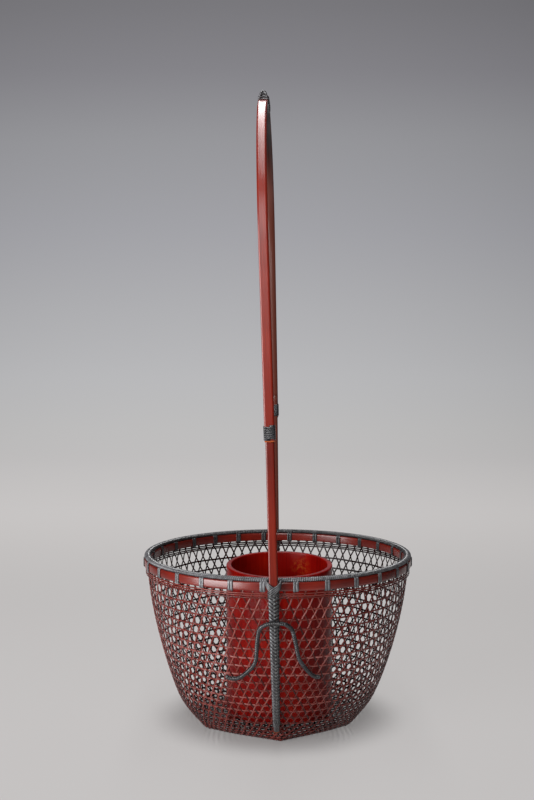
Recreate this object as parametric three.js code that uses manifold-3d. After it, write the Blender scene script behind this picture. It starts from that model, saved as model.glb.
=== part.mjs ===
// Bamboo flower basket: an openwork hexagonal weave on a six-sided foot, a lashed rim,
// a tall arched handle and a lacquered bamboo tube that holds the water.
// Millimetres, +Z up, origin under the middle of the foot. The handle stands over the Y axis,
// and the front is towards -Y.

import * as THREE from 'three';
import Module from 'manifold-3d';
import { mergeVertices } from 'three/addons/utils/BufferGeometryUtils.js';

// Fits
const clearance = 0.4;
const degree = Math.PI / 180;

// Woven body
const mouthRadius = 112.7;
const bodyHeight = 141;
const weaveThickness = 1.5;
const columns = 28;
const eyeFill = 0.8;
const plainBand = 12;
const eyeMargin = 3;
const footBand = 5;
const footApothem = 60;
const footReach = 25.5;
const footHeight = 22.9;
const footRings = 2;
const footShift = -2.5;
const footTurn = 3.5;
const shiftFade = 30;
const endCorners = 1.02;
const sideCorners = 0.64;
const cornerFade = 5.4;
const wallRise = 64.5;
const footLead = 8.6;
const footFlat = 9.7;
const bellyLead = 20.1;
const shoulderLead = 42.8;
const floorEyePitch = 18.5;
const floorEyeRadius = 7.9;
const floorEdge = 3;

// Rim
const hoopHeight = 7;
const outerHoopThickness = 1.9;
const innerHoopThickness = 1.9;
const rimCordRise = 3.6;
const rimCordWidth = 6;
const rimSides = 2 * columns;
const cordSides = 8;
const edgeStripHeight = 1.3;
const edgeStripThickness = 0.8;
const edgeStripCount = 3;
const tieCount = 28;
const tieWidth = 3.8;
const tieThickness = 0.6;

// Handle
const legWidth = 7;
const legFootWidth = 5;
const legThickness = 3;
const legFootThickness = 1.6;
const legFootHeight = 11.5;
const legEase = 27;
const legStep = 9;
const archWidth = 8;
const archThickness = 3;
const archCentreHeight = 406.6;
const stripBevel = 0.9;
const legLean = 1.06;
const archLean = 1.44;
const handleTurn = 0.74;
const handleTwist = 1.26;
const handleOffset = -0.1;
const lapFront = 8;
const lapBack = 10;
const scarfTip = 2.8;
const lapEase = 12;
const archStep = 6;

// Bindings of the handle
const strandWidth = 1.1;
const strandThickness = 0.6;
const strandGap = 0.5;
const legBindingHeight = 252;
const legBindingTurns = 8;
const legOverlap = 7;
const archOverlap = 1;
const apexBindingTurns = 17;
const apexBindingPitch = 2.1;
const loopSteps = 16;
const apexLoopSteps = 12;
const loopSquareness = 0.4;
const knotLength = 6;
const knotHeight = 7.6;
const knotFootWidth = 8;
const knotTopWidth = 4.6;
const knotShoulder = 2.3;
const knotEndHeight = 5.3;

// Braids, lashings and looped ornaments
const braidTopWidth = 8;
const braidFootWidth = 5.4;
const braidThickness = 1.8;
const braidFootHeight = 12.5;
const braidShoulder = 0.9;
const braidSteps = 12;
const lashingWidth = 1.6;
const lashingThickness = 1.3;
const ornamentDiameter = 3.1;
const ornamentLeft = [
  [-42.5, 62], [-38, 60], [-30, 61.8], [-20.2, 71.5], [-17.2, 80], [-16.4, 93], [-14.2, 104.8], [-8, 110],
];
const ornamentRight = [
  [2.6, 110.4], [6.8, 107.8], [10.4, 102.5], [13.4, 90.9], [16.3, 78], [23.6, 67], [28.4, 62.8], [33.5, 61.4],
];
const ornamentSteps = 30;

// Water tube and floor splints
const tubeRadius = 46;
const tubeWall = 4.4;
const tubeTop = 133;
const tubeSlant = 3.4;
const tubeShift = 1.5;
const tubeFloor = 7;
const tubeEase = 1;
const tubeSides = 36;
const splintWidth = 9;
const splintThickness = 0.9;
const splintLength = 112;

const wasm = await Module();
wasm.setup();

// Materials
function finish(color, roughness) {
  return new THREE.MeshStandardMaterial({ color, roughness, metalness: 0 });
}
const weaveFinish = finish(0x5a2019, 0.45);
const hoopFinish = finish(0x6e2520, 0.35);
const handleFinish = finish(0x8a3028, 0.35);
const rattanFinish = finish(0x2e2f31, 0.55);
const tubeFinish = finish(0x8f1610, 0.25);
const splintFinish = finish(0x4a1a15, 0.5);

const basket = new THREE.Group();

function place(name, geometry, material) {
  const mesh = new THREE.Mesh(geometry, material);
  mesh.name = name;
  basket.add(mesh);
}

// Meshes from points and triangles
function pointMesh(points, triangles) {
  const geometry = new THREE.BufferGeometry();
  const flat = points.flatMap((p) => [p.x, p.y, p.z]);
  geometry.setAttribute('position', new THREE.Float32BufferAttribute(flat, 3));
  geometry.setIndex(triangles.flat());
  return geometry;
}

function signedVolume(points, triangles) {
  const cross = new THREE.Vector3();
  let volume = 0;
  for (const [a, b, c] of triangles) {
    volume += points[a].dot(cross.crossVectors(points[b], points[c])) / 6;
  }
  return volume;
}

// Closed skin through rings of equal point counts, flat at both ends and turned outwards
function loft(rings) {
  const count = rings[0].length;
  const points = rings.flat();
  const triangles = [];
  for (let ring = 0; ring + 1 < rings.length; ring += 1) {
    for (let side = 0; side < count; side += 1) {
      const a = ring * count + side;
      const b = ring * count + ((side + 1) % count);
      triangles.push([a, b, b + count], [a, b + count, a + count]);
    }
  }
  const last = (rings.length - 1) * count;
  for (let side = 1; side + 1 < count; side += 1) {
    triangles.push([0, side + 1, side], [last, last + side, last + side + 1]);
  }
  if (signedVolume(points, triangles) < 0) {
    triangles.forEach((triangle) => triangle.reverse());
  }
  return pointMesh(points, triangles);
}

function toSolid(geometry) {
  const bare = new THREE.BufferGeometry();
  bare.setAttribute('position', geometry.getAttribute('position'));
  bare.setIndex(geometry.getIndex());
  const merged = mergeVertices(bare, 1e-4);
  return new wasm.Manifold(new wasm.Mesh({
    numProp: 3,
    vertProperties: new Float32Array(merged.getAttribute('position').array),
    triVerts: new Uint32Array(merged.getIndex().array),
  }));
}

function fromSolid(solid) {
  const { vertProperties, triVerts, numProp } = solid.getMesh();
  const points = [];
  for (let i = 0; i < vertProperties.length; i += numProp) {
    points.push(new THREE.Vector3(...vertProperties.slice(i, i + 3)));
  }
  const geometry = pointMesh(points, []);
  geometry.setIndex(new THREE.BufferAttribute(new Uint32Array(triVerts), 1));
  return geometry;
}

// Outer line of the wall over the middle of a side: a foot that turns under, then the swelling
// wall, which meets the rim upright
function wallLine() {
  const rise = new THREE.Vector2(Math.cos(wallRise * degree), Math.sin(wallRise * degree));
  const foot = new THREE.Vector2(footApothem, 0);
  const heel = new THREE.Vector2(footApothem + footReach, footHeight);
  const mouth = new THREE.Vector2(mouthRadius, bodyHeight);
  const line = new THREE.CurvePath();
  line.add(new THREE.CubicBezierCurve(
    foot,
    foot.clone().add(new THREE.Vector2(footFlat, 0)),
    heel.clone().addScaledVector(rise, -footLead),
    heel,
  ));
  line.add(new THREE.CubicBezierCurve(
    heel,
    heel.clone().addScaledVector(rise, bellyLead),
    mouth.clone().add(new THREE.Vector2(0, -shoulderLead)),
    mouth,
  ));
  return line;
}
const wall = wallLine();
const wallLength = wall.getLength();

// How far the six-sided foot reaches past its own apothem at an angle, fading with height. The
// corners under the handle are sharper than the four at the sides.
function cornerFactor(angle, height) {
  const side = 60 * degree;
  const turned = angle - footTurn * degree;
  const offMiddle = turned - side * Math.round(turned / side);
  const underHandle = Math.max(-Math.cos(2 * turned), 0);
  const strength = sideCorners + (endCorners - sideCorners) * underHandle;
  return 1 + strength * Math.exp(-height / cornerFade) * (1 / Math.cos(offMiddle) - 1);
}

// How far the body stands to the side of the rim's middle, most at the foot
function shiftAt(height) {
  return footShift * Math.exp(-height / shiftFade);
}

// Point of the wall at an angle, a length along its line from the foot, and a depth inwards
function wallPoint(angle, along, depth) {
  const fraction = THREE.MathUtils.clamp(along / wallLength, 0, 1);
  const edge = wall.getPoint(fraction);
  const tangent = wall.getTangent(fraction);
  const radius = (edge.x - depth * tangent.y) * cornerFactor(angle, edge.y);
  return new THREE.Vector3(
    radius * Math.cos(angle) + shiftAt(edge.y),
    radius * Math.sin(angle),
    Math.max(edge.y + depth * tangent.x, 0),
  );
}

// Length along the wall's line at which it reaches a height
function alongAt(height) {
  let low = 0;
  let high = wallLength;
  for (let halving = 0; halving < 40; halving += 1) {
    const middle = (low + high) / 2;
    if (wall.getPoint(middle / wallLength).y < height) {
      low = middle;
    } else {
      high = middle;
    }
  }
  return (low + high) / 2;
}

// Hexagonal openwork: eyes in staggered rows, each with its points towards its six neighbours
function wovenShell() {
  const points = [];
  const triangles = [];
  const turn = 2 * Math.PI / columns;
  const addSite = (outer, inner) => points.push(outer, inner) / 2 - 1;
  const wallSite = (column, along) => addSite(
    wallPoint(-Math.PI / 2 + column * turn, along, 0),
    wallPoint(-Math.PI / 2 + column * turn, along, weaveThickness),
  );
  const panel = (...sites) => {
    for (let i = 1; i + 1 < sites.length; i += 1) {
      const [a, b, c] = [sites[0], sites[i], sites[i + 1]];
      triangles.push([2 * a, 2 * b, 2 * c], [2 * a + 1, 2 * c + 1, 2 * b + 1]);
    }
  };
  const edge = (a, b) => {
    triangles.push([2 * b, 2 * a, 2 * a + 1], [2 * b, 2 * a + 1, 2 * b + 1]);
  };
  const ringAt = (along) => Array.from(
    { length: 2 * columns },
    (_, m) => wallSite((m + 0.5) / 2, along),
  );
  const joinRings = (below, above) => below.forEach((_, m) => {
    const next = (m + 1) % below.length;
    panel(below[m], below[next], above[next], above[m]);
  });

  // Rows of eyes from the plain band down to the foot
  const topAlong = alongAt(bodyHeight - plainBand);
  const rows = [];
  let reach = topAlong - eyeMargin;
  for (;;) {
    const spacing = wall.getPoint(reach / wallLength).x * turn * Math.sqrt(3) / 2;
    if (reach - spacing < footBand + eyeMargin) {
      break;
    }
    const centre = reach - spacing / 2;
    const shift = (rows.length % 2) / 2;
    rows.push(Array.from({ length: columns }, (_, column) => Array.from({ length: 6 }, (__, k) => {
      const across = eyeFill / 2 * Math.cos(k * 60 * degree);
      const up = eyeFill * spacing / Math.sqrt(3) * Math.sin(k * 60 * degree);
      return wallSite(column + shift + across, centre + up);
    })));
    reach -= spacing;
  }
  rows.forEach((row) => row.forEach((eye) => eye.forEach((site, k) => edge(eye[(k + 1) % 6], site))));

  // The strips between the eyes of a row and the rows above and below it
  const wrap = (i) => (i + columns) % columns;
  const top = ringAt(topAlong);
  const footTop = reach - eyeMargin;
  const bottom = ringAt(footTop);
  const ringSite = (ring, quarters) => ring[(quarters + 2 * ring.length) % ring.length];
  rows.forEach((row, j) => {
    const shift = j % 2;
    for (let i = 0; i < columns; i += 1) {
      const here = row[i];
      const right = row[wrap(i + 1)];
      const first = 2 * i + shift;
      if (j === 0) {
        panel(here[0], right[3], right[2], ringSite(top, first + 1), ringSite(top, first), here[1]);
        panel(here[2], here[1], ringSite(top, first), ringSite(top, first - 1));
      } else {
        const over = rows[j - 1][wrap(i + shift)];
        panel(here[0], right[3], right[2], over[5], over[4], here[1]);
      }
      if (j === rows.length - 1) {
        panel(
          right[3], here[0], here[5],
          ringSite(bottom, first), ringSite(bottom, first + 1), right[4],
        );
        panel(here[5], here[4], ringSite(bottom, first - 1), ringSite(bottom, first));
      } else {
        const under = rows[j + 1][wrap(i + shift)];
        panel(right[3], here[0], here[5], under[2], under[1], right[4]);
      }
    }
  });

  // Plain band under the hoops, and its top edge
  const lip = ringAt(wallLength);
  joinRings(top, lip);
  lip.forEach((site, m) => edge(lip[(m + 1) % lip.length], site));

  // Foot, turning under to the floor
  let above = bottom;
  for (let ring = footRings - 1; ring >= 0; ring -= 1) {
    const below = ringAt(footTop * ring / footRings);
    joinRings(below, above);
    above = below;
  }

  // Floor with its own eyes
  const flat = (site) => new THREE.Vector2(points[2 * site].x, points[2 * site].y);
  const eyes = floorEyeCentres().map((centre) => Array.from({ length: 6 }, (_, k) => {
    const point = (k * 60 + footTurn) * degree;
    const x = centre.x + floorEyeRadius * Math.cos(point);
    const y = centre.y + floorEyeRadius * Math.sin(point);
    return addSite(new THREE.Vector3(x, y, 0), new THREE.Vector3(x, y, weaveThickness));
  }));
  const sites = [above, ...eyes].flat();
  const faces = THREE.ShapeUtils.triangulateShape(above.map(flat), eyes.map((eye) => eye.map(flat)));
  faces.forEach(([a, b, c]) => panel(sites[c], sites[b], sites[a]));
  eyes.forEach((eye) => eye.forEach((site, k) => edge(site, eye[(k + 1) % 6])));
  return pointMesh(points, triangles);
}

// Centres of the floor's eyes, on a triangular grid inside the six sides of the foot
function floorEyeCentres() {
  const centres = [];
  const reach = Math.ceil(footApothem / floorEyePitch) + 1;
  for (let row = -reach; row <= reach; row += 1) {
    for (let column = -reach; column <= reach; column += 1) {
      const x = floorEyePitch * (column + (row & 1) / 2);
      const y = floorEyePitch * row * Math.sqrt(3) / 2;
      const across = Math.max(...[0, 60, 120].map((side) => (
        Math.abs(x * Math.cos(side * degree) + y * Math.sin(side * degree)))));
      if (across + floorEyeRadius + floorEdge < footApothem) {
        const centre = new THREE.Vector2(x, y).rotateAround(new THREE.Vector2(), footTurn * degree);
        centre.x += footShift;
        centres.push(centre);
      }
    }
  }
  return centres;
}

// Rim: the radii of its layers, from the wall outwards and inwards
const outerHoopInside = mouthRadius + clearance;
const outerHoopOutside = outerHoopInside + outerHoopThickness;
const innerHoopOutside = mouthRadius - weaveThickness - clearance;
const innerHoopInside = innerHoopOutside - innerHoopThickness;
const hoopFoot = bodyHeight - hoopHeight;
const rimCordHeight = bodyHeight + 2 * clearance + tieThickness + rimCordRise / 2;
const rimCordRadius = (outerHoopOutside + innerHoopInside) / 2;
const tieSlotFoot = hoopFoot - tieThickness - 2 * clearance;

// Ring of rectangular section
function flatRing(inside, outside, low, high) {
  const profile = [
    [inside, low], [outside, low], [outside, high], [inside, high], [inside, low],
  ].map(([x, y]) => new THREE.Vector2(x, y));
  const ring = new THREE.LatheGeometry(profile, rimSides, Math.PI / rimSides);
  return ring.rotateX(Math.PI / 2);
}

function addRim() {
  place('outer_hoop', flatRing(outerHoopInside, outerHoopOutside, hoopFoot, bodyHeight), hoopFinish);
  place('inner_hoop', flatRing(innerHoopInside, innerHoopOutside, hoopFoot, bodyHeight), hoopFinish);
  const oval = Array.from({ length: cordSides + 1 }, (_, k) => {
    const angle = (k % cordSides) * 2 * Math.PI / cordSides;
    return new THREE.Vector2(
      rimCordRadius + rimCordWidth / 2 * Math.cos(angle),
      rimCordHeight + rimCordRise / 2 * Math.sin(angle),
    );
  });
  const cord = new THREE.LatheGeometry(oval, rimSides, Math.PI / rimSides);
  place('rim_cord', cord.rotateX(Math.PI / 2), rattanFinish);
  for (let strip = 0; strip < edgeStripCount; strip += 1) {
    const high = tieSlotFoot - strip * (edgeStripHeight + clearance);
    const outside = outerHoopInside + edgeStripThickness;
    const ring = flatRing(outerHoopInside, outside, high - edgeStripHeight, high);
    place(`edge_strip_${strip + 1}`, ring, weaveFinish);
  }
}

// Section of a tie: a closed loop round both hoops and the edge of the weave, under the cord
function tieLoop(spread) {
  const inside = innerHoopInside - clearance - spread;
  const outside = outerHoopOutside + clearance + spread;
  const low = hoopFoot - clearance - spread;
  const high = bodyHeight + clearance + spread;
  return [
    [inside, low], [outside, low], [outside, high], [inside, high],
  ].map(([x, y]) => new THREE.Vector2(x, y));
}

function tieGeometry(angle) {
  const shape = new THREE.Shape(tieLoop(tieThickness));
  shape.holes.push(new THREE.Path(tieLoop(0)));
  const loop = new THREE.ExtrudeGeometry(shape, { depth: tieWidth, bevelEnabled: false });
  return loop.translate(0, 0, -tieWidth / 2).rotateX(Math.PI / 2).rotateZ(angle);
}

const tieAngles = Array.from(
  { length: tieCount },
  (_, i) => -Math.PI / 2 + (i + 0.5) * 2 * Math.PI / tieCount,
);

// The body, with a slot for each tie just under the hoops
function addBody() {
  const slotHeight = hoopFoot - tieSlotFoot;
  const slotDepth = 2 * (outerHoopOutside - innerHoopInside);
  let body = toSolid(wovenShell());
  for (const angle of tieAngles) {
    const slot = new THREE.BoxGeometry(slotDepth, tieWidth + 2 * clearance, slotHeight);
    slot.translate(mouthRadius, 0, (hoopFoot + tieSlotFoot) / 2).rotateZ(angle);
    body = body.subtract(toSolid(slot));
  }
  place('body_weave', fromSolid(body), weaveFinish);
}

function addTies() {
  tieAngles.forEach((angle, i) => {
    const number = String(i + 1).padStart(2, '0');
    place(`rim_tie_${number}`, tieGeometry(angle), rattanFinish);
  });
}

// Handle: how far its middle line stands to the side. It leans more above the bindings than
// below them, and its turn grows by the twist from the rim to the top.
function handleShift(y, z) {
  const above = Math.max(z - legBindingHeight, 0);
  const lean = (z - above) * Math.tan(legLean * degree) + above * Math.tan(archLean * degree);
  const height = archCentreHeight + archInside - bodyHeight;
  const turn = handleTurn + handleTwist * Math.max(z - bodyHeight, 0) / height;
  return handleOffset - lean + y * Math.tan(turn * degree);
}

// Flat strip with bevelled outer edges, carried along stations in the plane of the handle
function stripSolid(stations, side) {
  return loft(stations.map(({ p, n, width, thickness }) => {
    const bevel = Math.min(stripBevel, thickness / 2);
    const section = [
      [-width / 2, 0], [width / 2, 0], [width / 2, thickness - bevel],
      [width / 2 - bevel, thickness], [bevel - width / 2, thickness], [-width / 2, thickness - bevel],
    ];
    return section.map(([across, out]) => {
      const y = side * (p.x + n.x * out);
      const z = p.y + n.y * out;
      return new THREE.Vector3(handleShift(side * p.x, p.y) + across, y, z);
    });
  }));
}

const legInside = outerHoopOutside + clearance;
const archInside = legInside + legThickness + clearance;
const bindingLength = legBindingTurns * (strandWidth + strandGap);

// Share of the way from the foot of the leg to the hoops
function legShare(z) {
  return THREE.MathUtils.clamp((z - legFootHeight) / (hoopFoot - legFootHeight), 0, 1);
}

function legThicknessAt(z) {
  return THREE.MathUtils.lerp(legFootThickness, legThickness, legShare(z));
}

// Distance of a leg's inner face from the axis: it follows the corner of the wall, then steps
// out over the edge strips and the outer hoop
function legInsideAt(z) {
  if (z >= hoopFoot) {
    return legInside;
  }
  const corner = wallPoint((90 + footTurn) * degree, alongAt(z), 0).y;
  const step = THREE.MathUtils.smoothstep(z, hoopFoot - legEase, tieSlotFoot);
  return corner + clearance + step * (legInside - mouthRadius - clearance);
}

function outwardAt(z, step = 0.5) {
  const rise = new THREE.Vector2(legInsideAt(z + step) - legInsideAt(z - step), 2 * step);
  return new THREE.Vector2(rise.y, -rise.x).normalize();
}

function legStations() {
  const heights = [];
  for (let z = legFootHeight; z < hoopFoot; z += legStep) {
    heights.push(z);
  }
  heights.push(hoopFoot, legBindingHeight + bindingLength + legOverlap);
  return heights.map((z) => ({
    p: new THREE.Vector2(legInsideAt(z), z),
    n: outwardAt(z),
    width: THREE.MathUtils.lerp(legFootWidth, legWidth, legShare(z)),
    thickness: legThicknessAt(z),
  }));
}

// Arch strips: up from the binding and round to the lap at the top, where the back strip lies
// over the front strip and both are pared a little towards their ends
function frontScarf(turn) {
  const share = THREE.MathUtils.clamp((turn + lapFront) / (lapFront + lapBack), 0, 1);
  return THREE.MathUtils.lerp(archThickness, scarfTip, share);
}

function backScarf(turn) {
  const share = THREE.MathUtils.clamp((turn + lapFront) / (lapFront + lapBack), 0, 1);
  return THREE.MathUtils.lerp(scarfTip, archThickness, share);
}

function backRaise(turn) {
  const ease = 1 - THREE.MathUtils.smoothstep(turn, lapBack + 1, lapBack + 1 + lapEase);
  return ease * (frontScarf(turn) + clearance);
}

// Stations of an arch strip; turn is in degrees from the top of the arch towards the back
function archStations(side) {
  const reach = side < 0 ? lapBack : lapFront;
  const stations = [];
  const low = legBindingHeight - archOverlap;
  stations.push({ turn: side * 90, z: low }, { turn: side * 90, z: (low + archCentreHeight) / 2 });
  for (let angle = 90; angle > -reach; angle -= archStep) {
    stations.push({ turn: side * angle, z: archCentreHeight });
  }
  stations.push({ turn: -side * reach, z: archCentreHeight });
  return stations.map(({ turn, z }) => {
    const lift = side < 0 ? 0 : backRaise(turn);
    const n = new THREE.Vector2(side * Math.sin(turn * degree), Math.cos(turn * degree));
    return {
      p: new THREE.Vector2(n.x * (archInside + lift), z + n.y * (archInside + lift)),
      n,
      width: archWidth,
      thickness: side < 0 ? frontScarf(turn) : backScarf(turn),
    };
  });
}

// Winding: one flat strand in a helix of rounded oblong loops round a stretch of the handle.
// at(t) gives the middle of the stretch and its outward direction at a share t of its length.
function winding(name, at, halfWidth, halfDepth, turns, steps) {
  const oblong = Array.from({ length: steps }, (_, i) => {
    const angle = (i + 0.5) * 2 * Math.PI / steps;
    const c = Math.cos(angle);
    const s = Math.sin(angle);
    return [
      halfWidth * Math.sign(c) * Math.abs(c) ** loopSquareness,
      halfDepth * Math.sign(s) * Math.abs(s) ** loopSquareness,
    ];
  });
  const centres = [];
  for (let i = 0; i <= turns * steps; i += 1) {
    const [across, out] = oblong[i % steps];
    const { middle, outward } = at(i / (turns * steps));
    centres.push(middle.clone().addScaledVector(outward, out).add(new THREE.Vector3(across, 0, 0)));
  }
  const along = at(1).middle.clone().sub(at(0).middle).normalize();
  const rings = centres.map((centre, i) => {
    const before = centres[Math.max(i - 1, 0)];
    const after = centres[Math.min(i + 1, centres.length - 1)];
    const { outward } = at(i / (turns * steps));
    const lengthwise = new THREE.Vector3(0, outward.z, -outward.y);
    if (lengthwise.dot(along) < 0) {
      lengthwise.negate();
    }
    const tangent = after.clone().sub(before).normalize();
    const normal = new THREE.Vector3().crossVectors(tangent, lengthwise).normalize();
    const width = new THREE.Vector3().crossVectors(normal, tangent).normalize();
    return [[1, 1], [-1, 1], [-1, -1], [1, -1]].map(([acrossSign, outSign]) => centre.clone()
      .addScaledVector(width, acrossSign * strandWidth / 2)
      .addScaledVector(normal, outSign * strandThickness / 2));
  });
  let least = Infinity;
  for (let i = 0; i + steps < rings.length; i += 1) {
    for (const a of rings[i]) {
      for (const b of rings[i + steps]) {
        least = Math.min(least, a.distanceTo(b));
      }
    }
  }
  console.log(`${name}: least gap between turns ${least.toFixed(2)} mm`);
  place(name, loft(rings), rattanFinish);
}

function addHandle() {
  for (const [side, end] of [[-1, 'front'], [1, 'back']]) {
    place(`handle_leg_${end}`, stripSolid(legStations(), side), handleFinish);
    place(`handle_arch_${end}`, stripSolid(archStations(side), side), handleFinish);
    const depth = legThickness + clearance + archThickness;
    winding(`leg_binding_${end}`, (t) => {
      const y = side * (legInside + depth / 2);
      const z = legBindingHeight + t * bindingLength;
      return {
        middle: new THREE.Vector3(handleShift(y, z), y, z),
        outward: new THREE.Vector3(0, side, 0),
      };
    }, archWidth / 2 + clearance + strandThickness, depth / 2 + clearance + strandThickness,
    legBindingTurns, loopSteps);
  }
}

// Binding of the lap, and the crossed knot at the end of the back strip
function addApex() {
  const depth = archThickness + scarfTip + clearance;
  const radius = archInside + depth / 2;
  const start = -(lapFront - 2) * degree;
  const sweep = apexBindingTurns * apexBindingPitch / radius;
  const outwardAtTurn = (turn) => new THREE.Vector3(0, Math.sin(turn), Math.cos(turn));
  const pointAtTurn = (turn, distance) => {
    const point = outwardAtTurn(turn).multiplyScalar(distance);
    point.z += archCentreHeight;
    point.x = handleShift(point.y, point.z);
    return point;
  };
  winding('apex_binding', (t) => {
    const turn = start + t * sweep;
    return { middle: pointAtTurn(turn, radius), outward: outwardAtTurn(turn) };
  }, archWidth / 2 + clearance + strandThickness, depth / 2 + clearance + strandThickness,
  apexBindingTurns, apexLoopSteps);

  // Crossed knot: a tapering block of strands that stands on the front strip, at the end of the lap
  const seat = archInside + archThickness + clearance;
  const knotBack = -lapFront * degree - clearance / seat;
  const outline = [[0, knotEndHeight], [1 / 4, knotHeight], [3 / 4, knotHeight], [1, knotEndHeight]];
  place('apex_knot', loft(outline.map(([share, height]) => {
    const turn = knotBack - share * knotLength / seat;
    return [
      [-knotFootWidth / 2, 0], [knotFootWidth / 2, 0], [knotFootWidth / 2, knotShoulder],
      [knotTopWidth / 2, height], [-knotTopWidth / 2, height], [-knotFootWidth / 2, knotShoulder],
    ].map(([across, out]) => {
      const point = pointAtTurn(turn, seat + out);
      point.x += across;
      return point;
    });
  })), rattanFinish);
}

// Braid: stitched rattan over the outer face of a leg, half round in section, from rim to foot
const braidTopHeight = hoopFoot - edgeStripHeight;

function braidInsideAt(z) {
  return legInsideAt(z) + legThicknessAt(z) / outwardAt(z).x + clearance;
}

function addBraid(side, end) {
  const rings = Array.from({ length: braidSteps + 1 }, (_, i) => {
    const z = THREE.MathUtils.lerp(braidFootHeight, braidTopHeight, i / braidSteps);
    const half = THREE.MathUtils.lerp(braidFootWidth, braidTopWidth, i / braidSteps) / 2;
    const y = side * braidInsideAt(z);
    const x = handleShift(y, z);
    return [
      [-half, 0], [half, 0], [half, braidShoulder],
      [half / 2, braidThickness], [-half / 2, braidThickness], [-half, braidShoulder],
    ].map(([across, out]) => new THREE.Vector3(x + across, y + side * out, z));
  });
  place(`braid_${end}`, loft(rings), rattanFinish);
}

// Lashing: two strands crossed over the leg, from the top of the rim to the head of the braid
function addLashing(side, end) {
  const high = bodyHeight + rimCordRise / 2;
  const low = braidTopHeight + clearance;
  const half = legWidth / 2 + lashingWidth;
  const middle = (high + low) / 2;
  const arm = lashingWidth * Math.SQRT1_2;
  const outline = [
    [-half, low], [arm - half, low], [0, middle - arm], [half - arm, low], [half, low],
    [half, low + arm], [arm, middle], [half, high - arm], [half, high], [half - arm, high],
    [0, middle + arm], [arm - half, high], [-half, high], [-half, high - arm], [-arm, middle],
    [-half, low + arm],
  ].map(([x, z]) => new THREE.Vector2(x, z));
  const inside = legInside + legThickness + clearance;
  const cross = new THREE.ExtrudeGeometry(
    new THREE.Shape(outline),
    { depth: lashingThickness, bevelEnabled: false },
  );
  cross.rotateX(Math.PI / 2);
  const near = side < 0 ? -inside : inside + lashingThickness;
  cross.translate(handleShift(side * inside, middle), near, 0);
  place(`leg_lashing_${end}`, cross, rattanFinish);
}

// Ornament: a wound wire laid on the weave on both sides of the braid and bridging it.
// Its points are given as the distance across from the foot's corner, along the wall, and a height.
function addOrnament(side, end) {
  const reach = braidTopWidth / 2 + ornamentDiameter;
  const crossing = ornamentRight[0][1];
  const corner = wallPoint((90 + footTurn) * degree, alongAt(crossing), 0).y;
  const bridge = braidInsideAt(crossing) + braidThickness - corner;
  const middle = -side * handleShift(side * corner, crossing);
  const route = [...ornamentLeft, ...ornamentRight].map(([across, height]) => {
    const along = alongAt(height);
    const flat = wall.getPoint(along / wallLength).x;
    const near = 1 - THREE.MathUtils.smoothstep(Math.abs(across - middle), reach, 2 * reach);
    const rest = clearance + ornamentDiameter / 2;
    return wallPoint(-Math.PI / 2 + across / flat, along, -rest - near * bridge);
  });
  const section = new THREE.Shape(Array.from({ length: 8 }, (_, k) => new THREE.Vector2(
    ornamentDiameter / 2 * Math.cos(k * 45 * degree),
    ornamentDiameter / 2 * Math.sin(k * 45 * degree),
  )));
  const wire = new THREE.ExtrudeGeometry(section, {
    steps: ornamentSteps,
    extrudePath: new THREE.CatmullRomCurve3(route),
  });
  place(`ornament_${end}`, wire.rotateZ(side < 0 ? 0 : Math.PI), rattanFinish);
}

// Floor splints: three flat strips from corner to corner, laid over one another under the tube
function addSplints() {
  for (let layer = 0; layer < 3; layer += 1) {
    const low = weaveThickness + clearance + layer * (splintThickness + clearance);
    const splint = new THREE.BoxGeometry(splintWidth, splintLength, splintThickness);
    splint.translate(0, 0, low + splintThickness / 2);
    splint.rotateZ((layer * 60 + footTurn) * degree).translate(footShift, 0, 0);
    place(`floor_splint_${layer + 1}`, splint, splintFinish);
  }
}

function addTube() {
  const low = weaveThickness + clearance + 3 * (splintThickness + clearance);
  const profile = [
    [0, low], [tubeRadius - tubeEase, low], [tubeRadius, low + tubeEase],
    [tubeRadius, tubeTop - tubeEase], [tubeRadius - tubeEase, tubeTop],
    [tubeRadius - tubeWall + tubeEase, tubeTop], [tubeRadius - tubeWall, tubeTop - tubeEase],
    [tubeRadius - tubeWall, low + tubeFloor],
    [0, low + tubeFloor],
  ].map(([x, y]) => new THREE.Vector2(x, y));
  const tube = new THREE.LatheGeometry(profile, tubeSides).rotateX(Math.PI / 2);
  const points = tube.getAttribute('position');
  for (let i = 0; i < points.count; i += 1) {
    if (points.getZ(i) >= tubeTop - tubeEase) {
      points.setZ(i, points.getZ(i) + points.getY(i) * Math.tan(tubeSlant * degree));
    }
  }
  place('water_tube', tube.translate(tubeShift, 0, 0), tubeFinish);
}

addBody();
addRim();
addTies();
addHandle();
addApex();
for (const [side, end] of [[-1, 'front'], [1, 'back']]) {
  addBraid(side, end);
  addLashing(side, end);
  addOrnament(side, end);
}
addSplints();
addTube();

export default basket;
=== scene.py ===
"""Bamboo flower basket with a tall handle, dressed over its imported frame.

Metres, +Z up, front towards -Y, handle over the Y axis. The sections follow the basket as it is
put together: weave, rim, handle, bindings, braids, ornaments, and the tube that holds the water.
"""

import math

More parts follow.
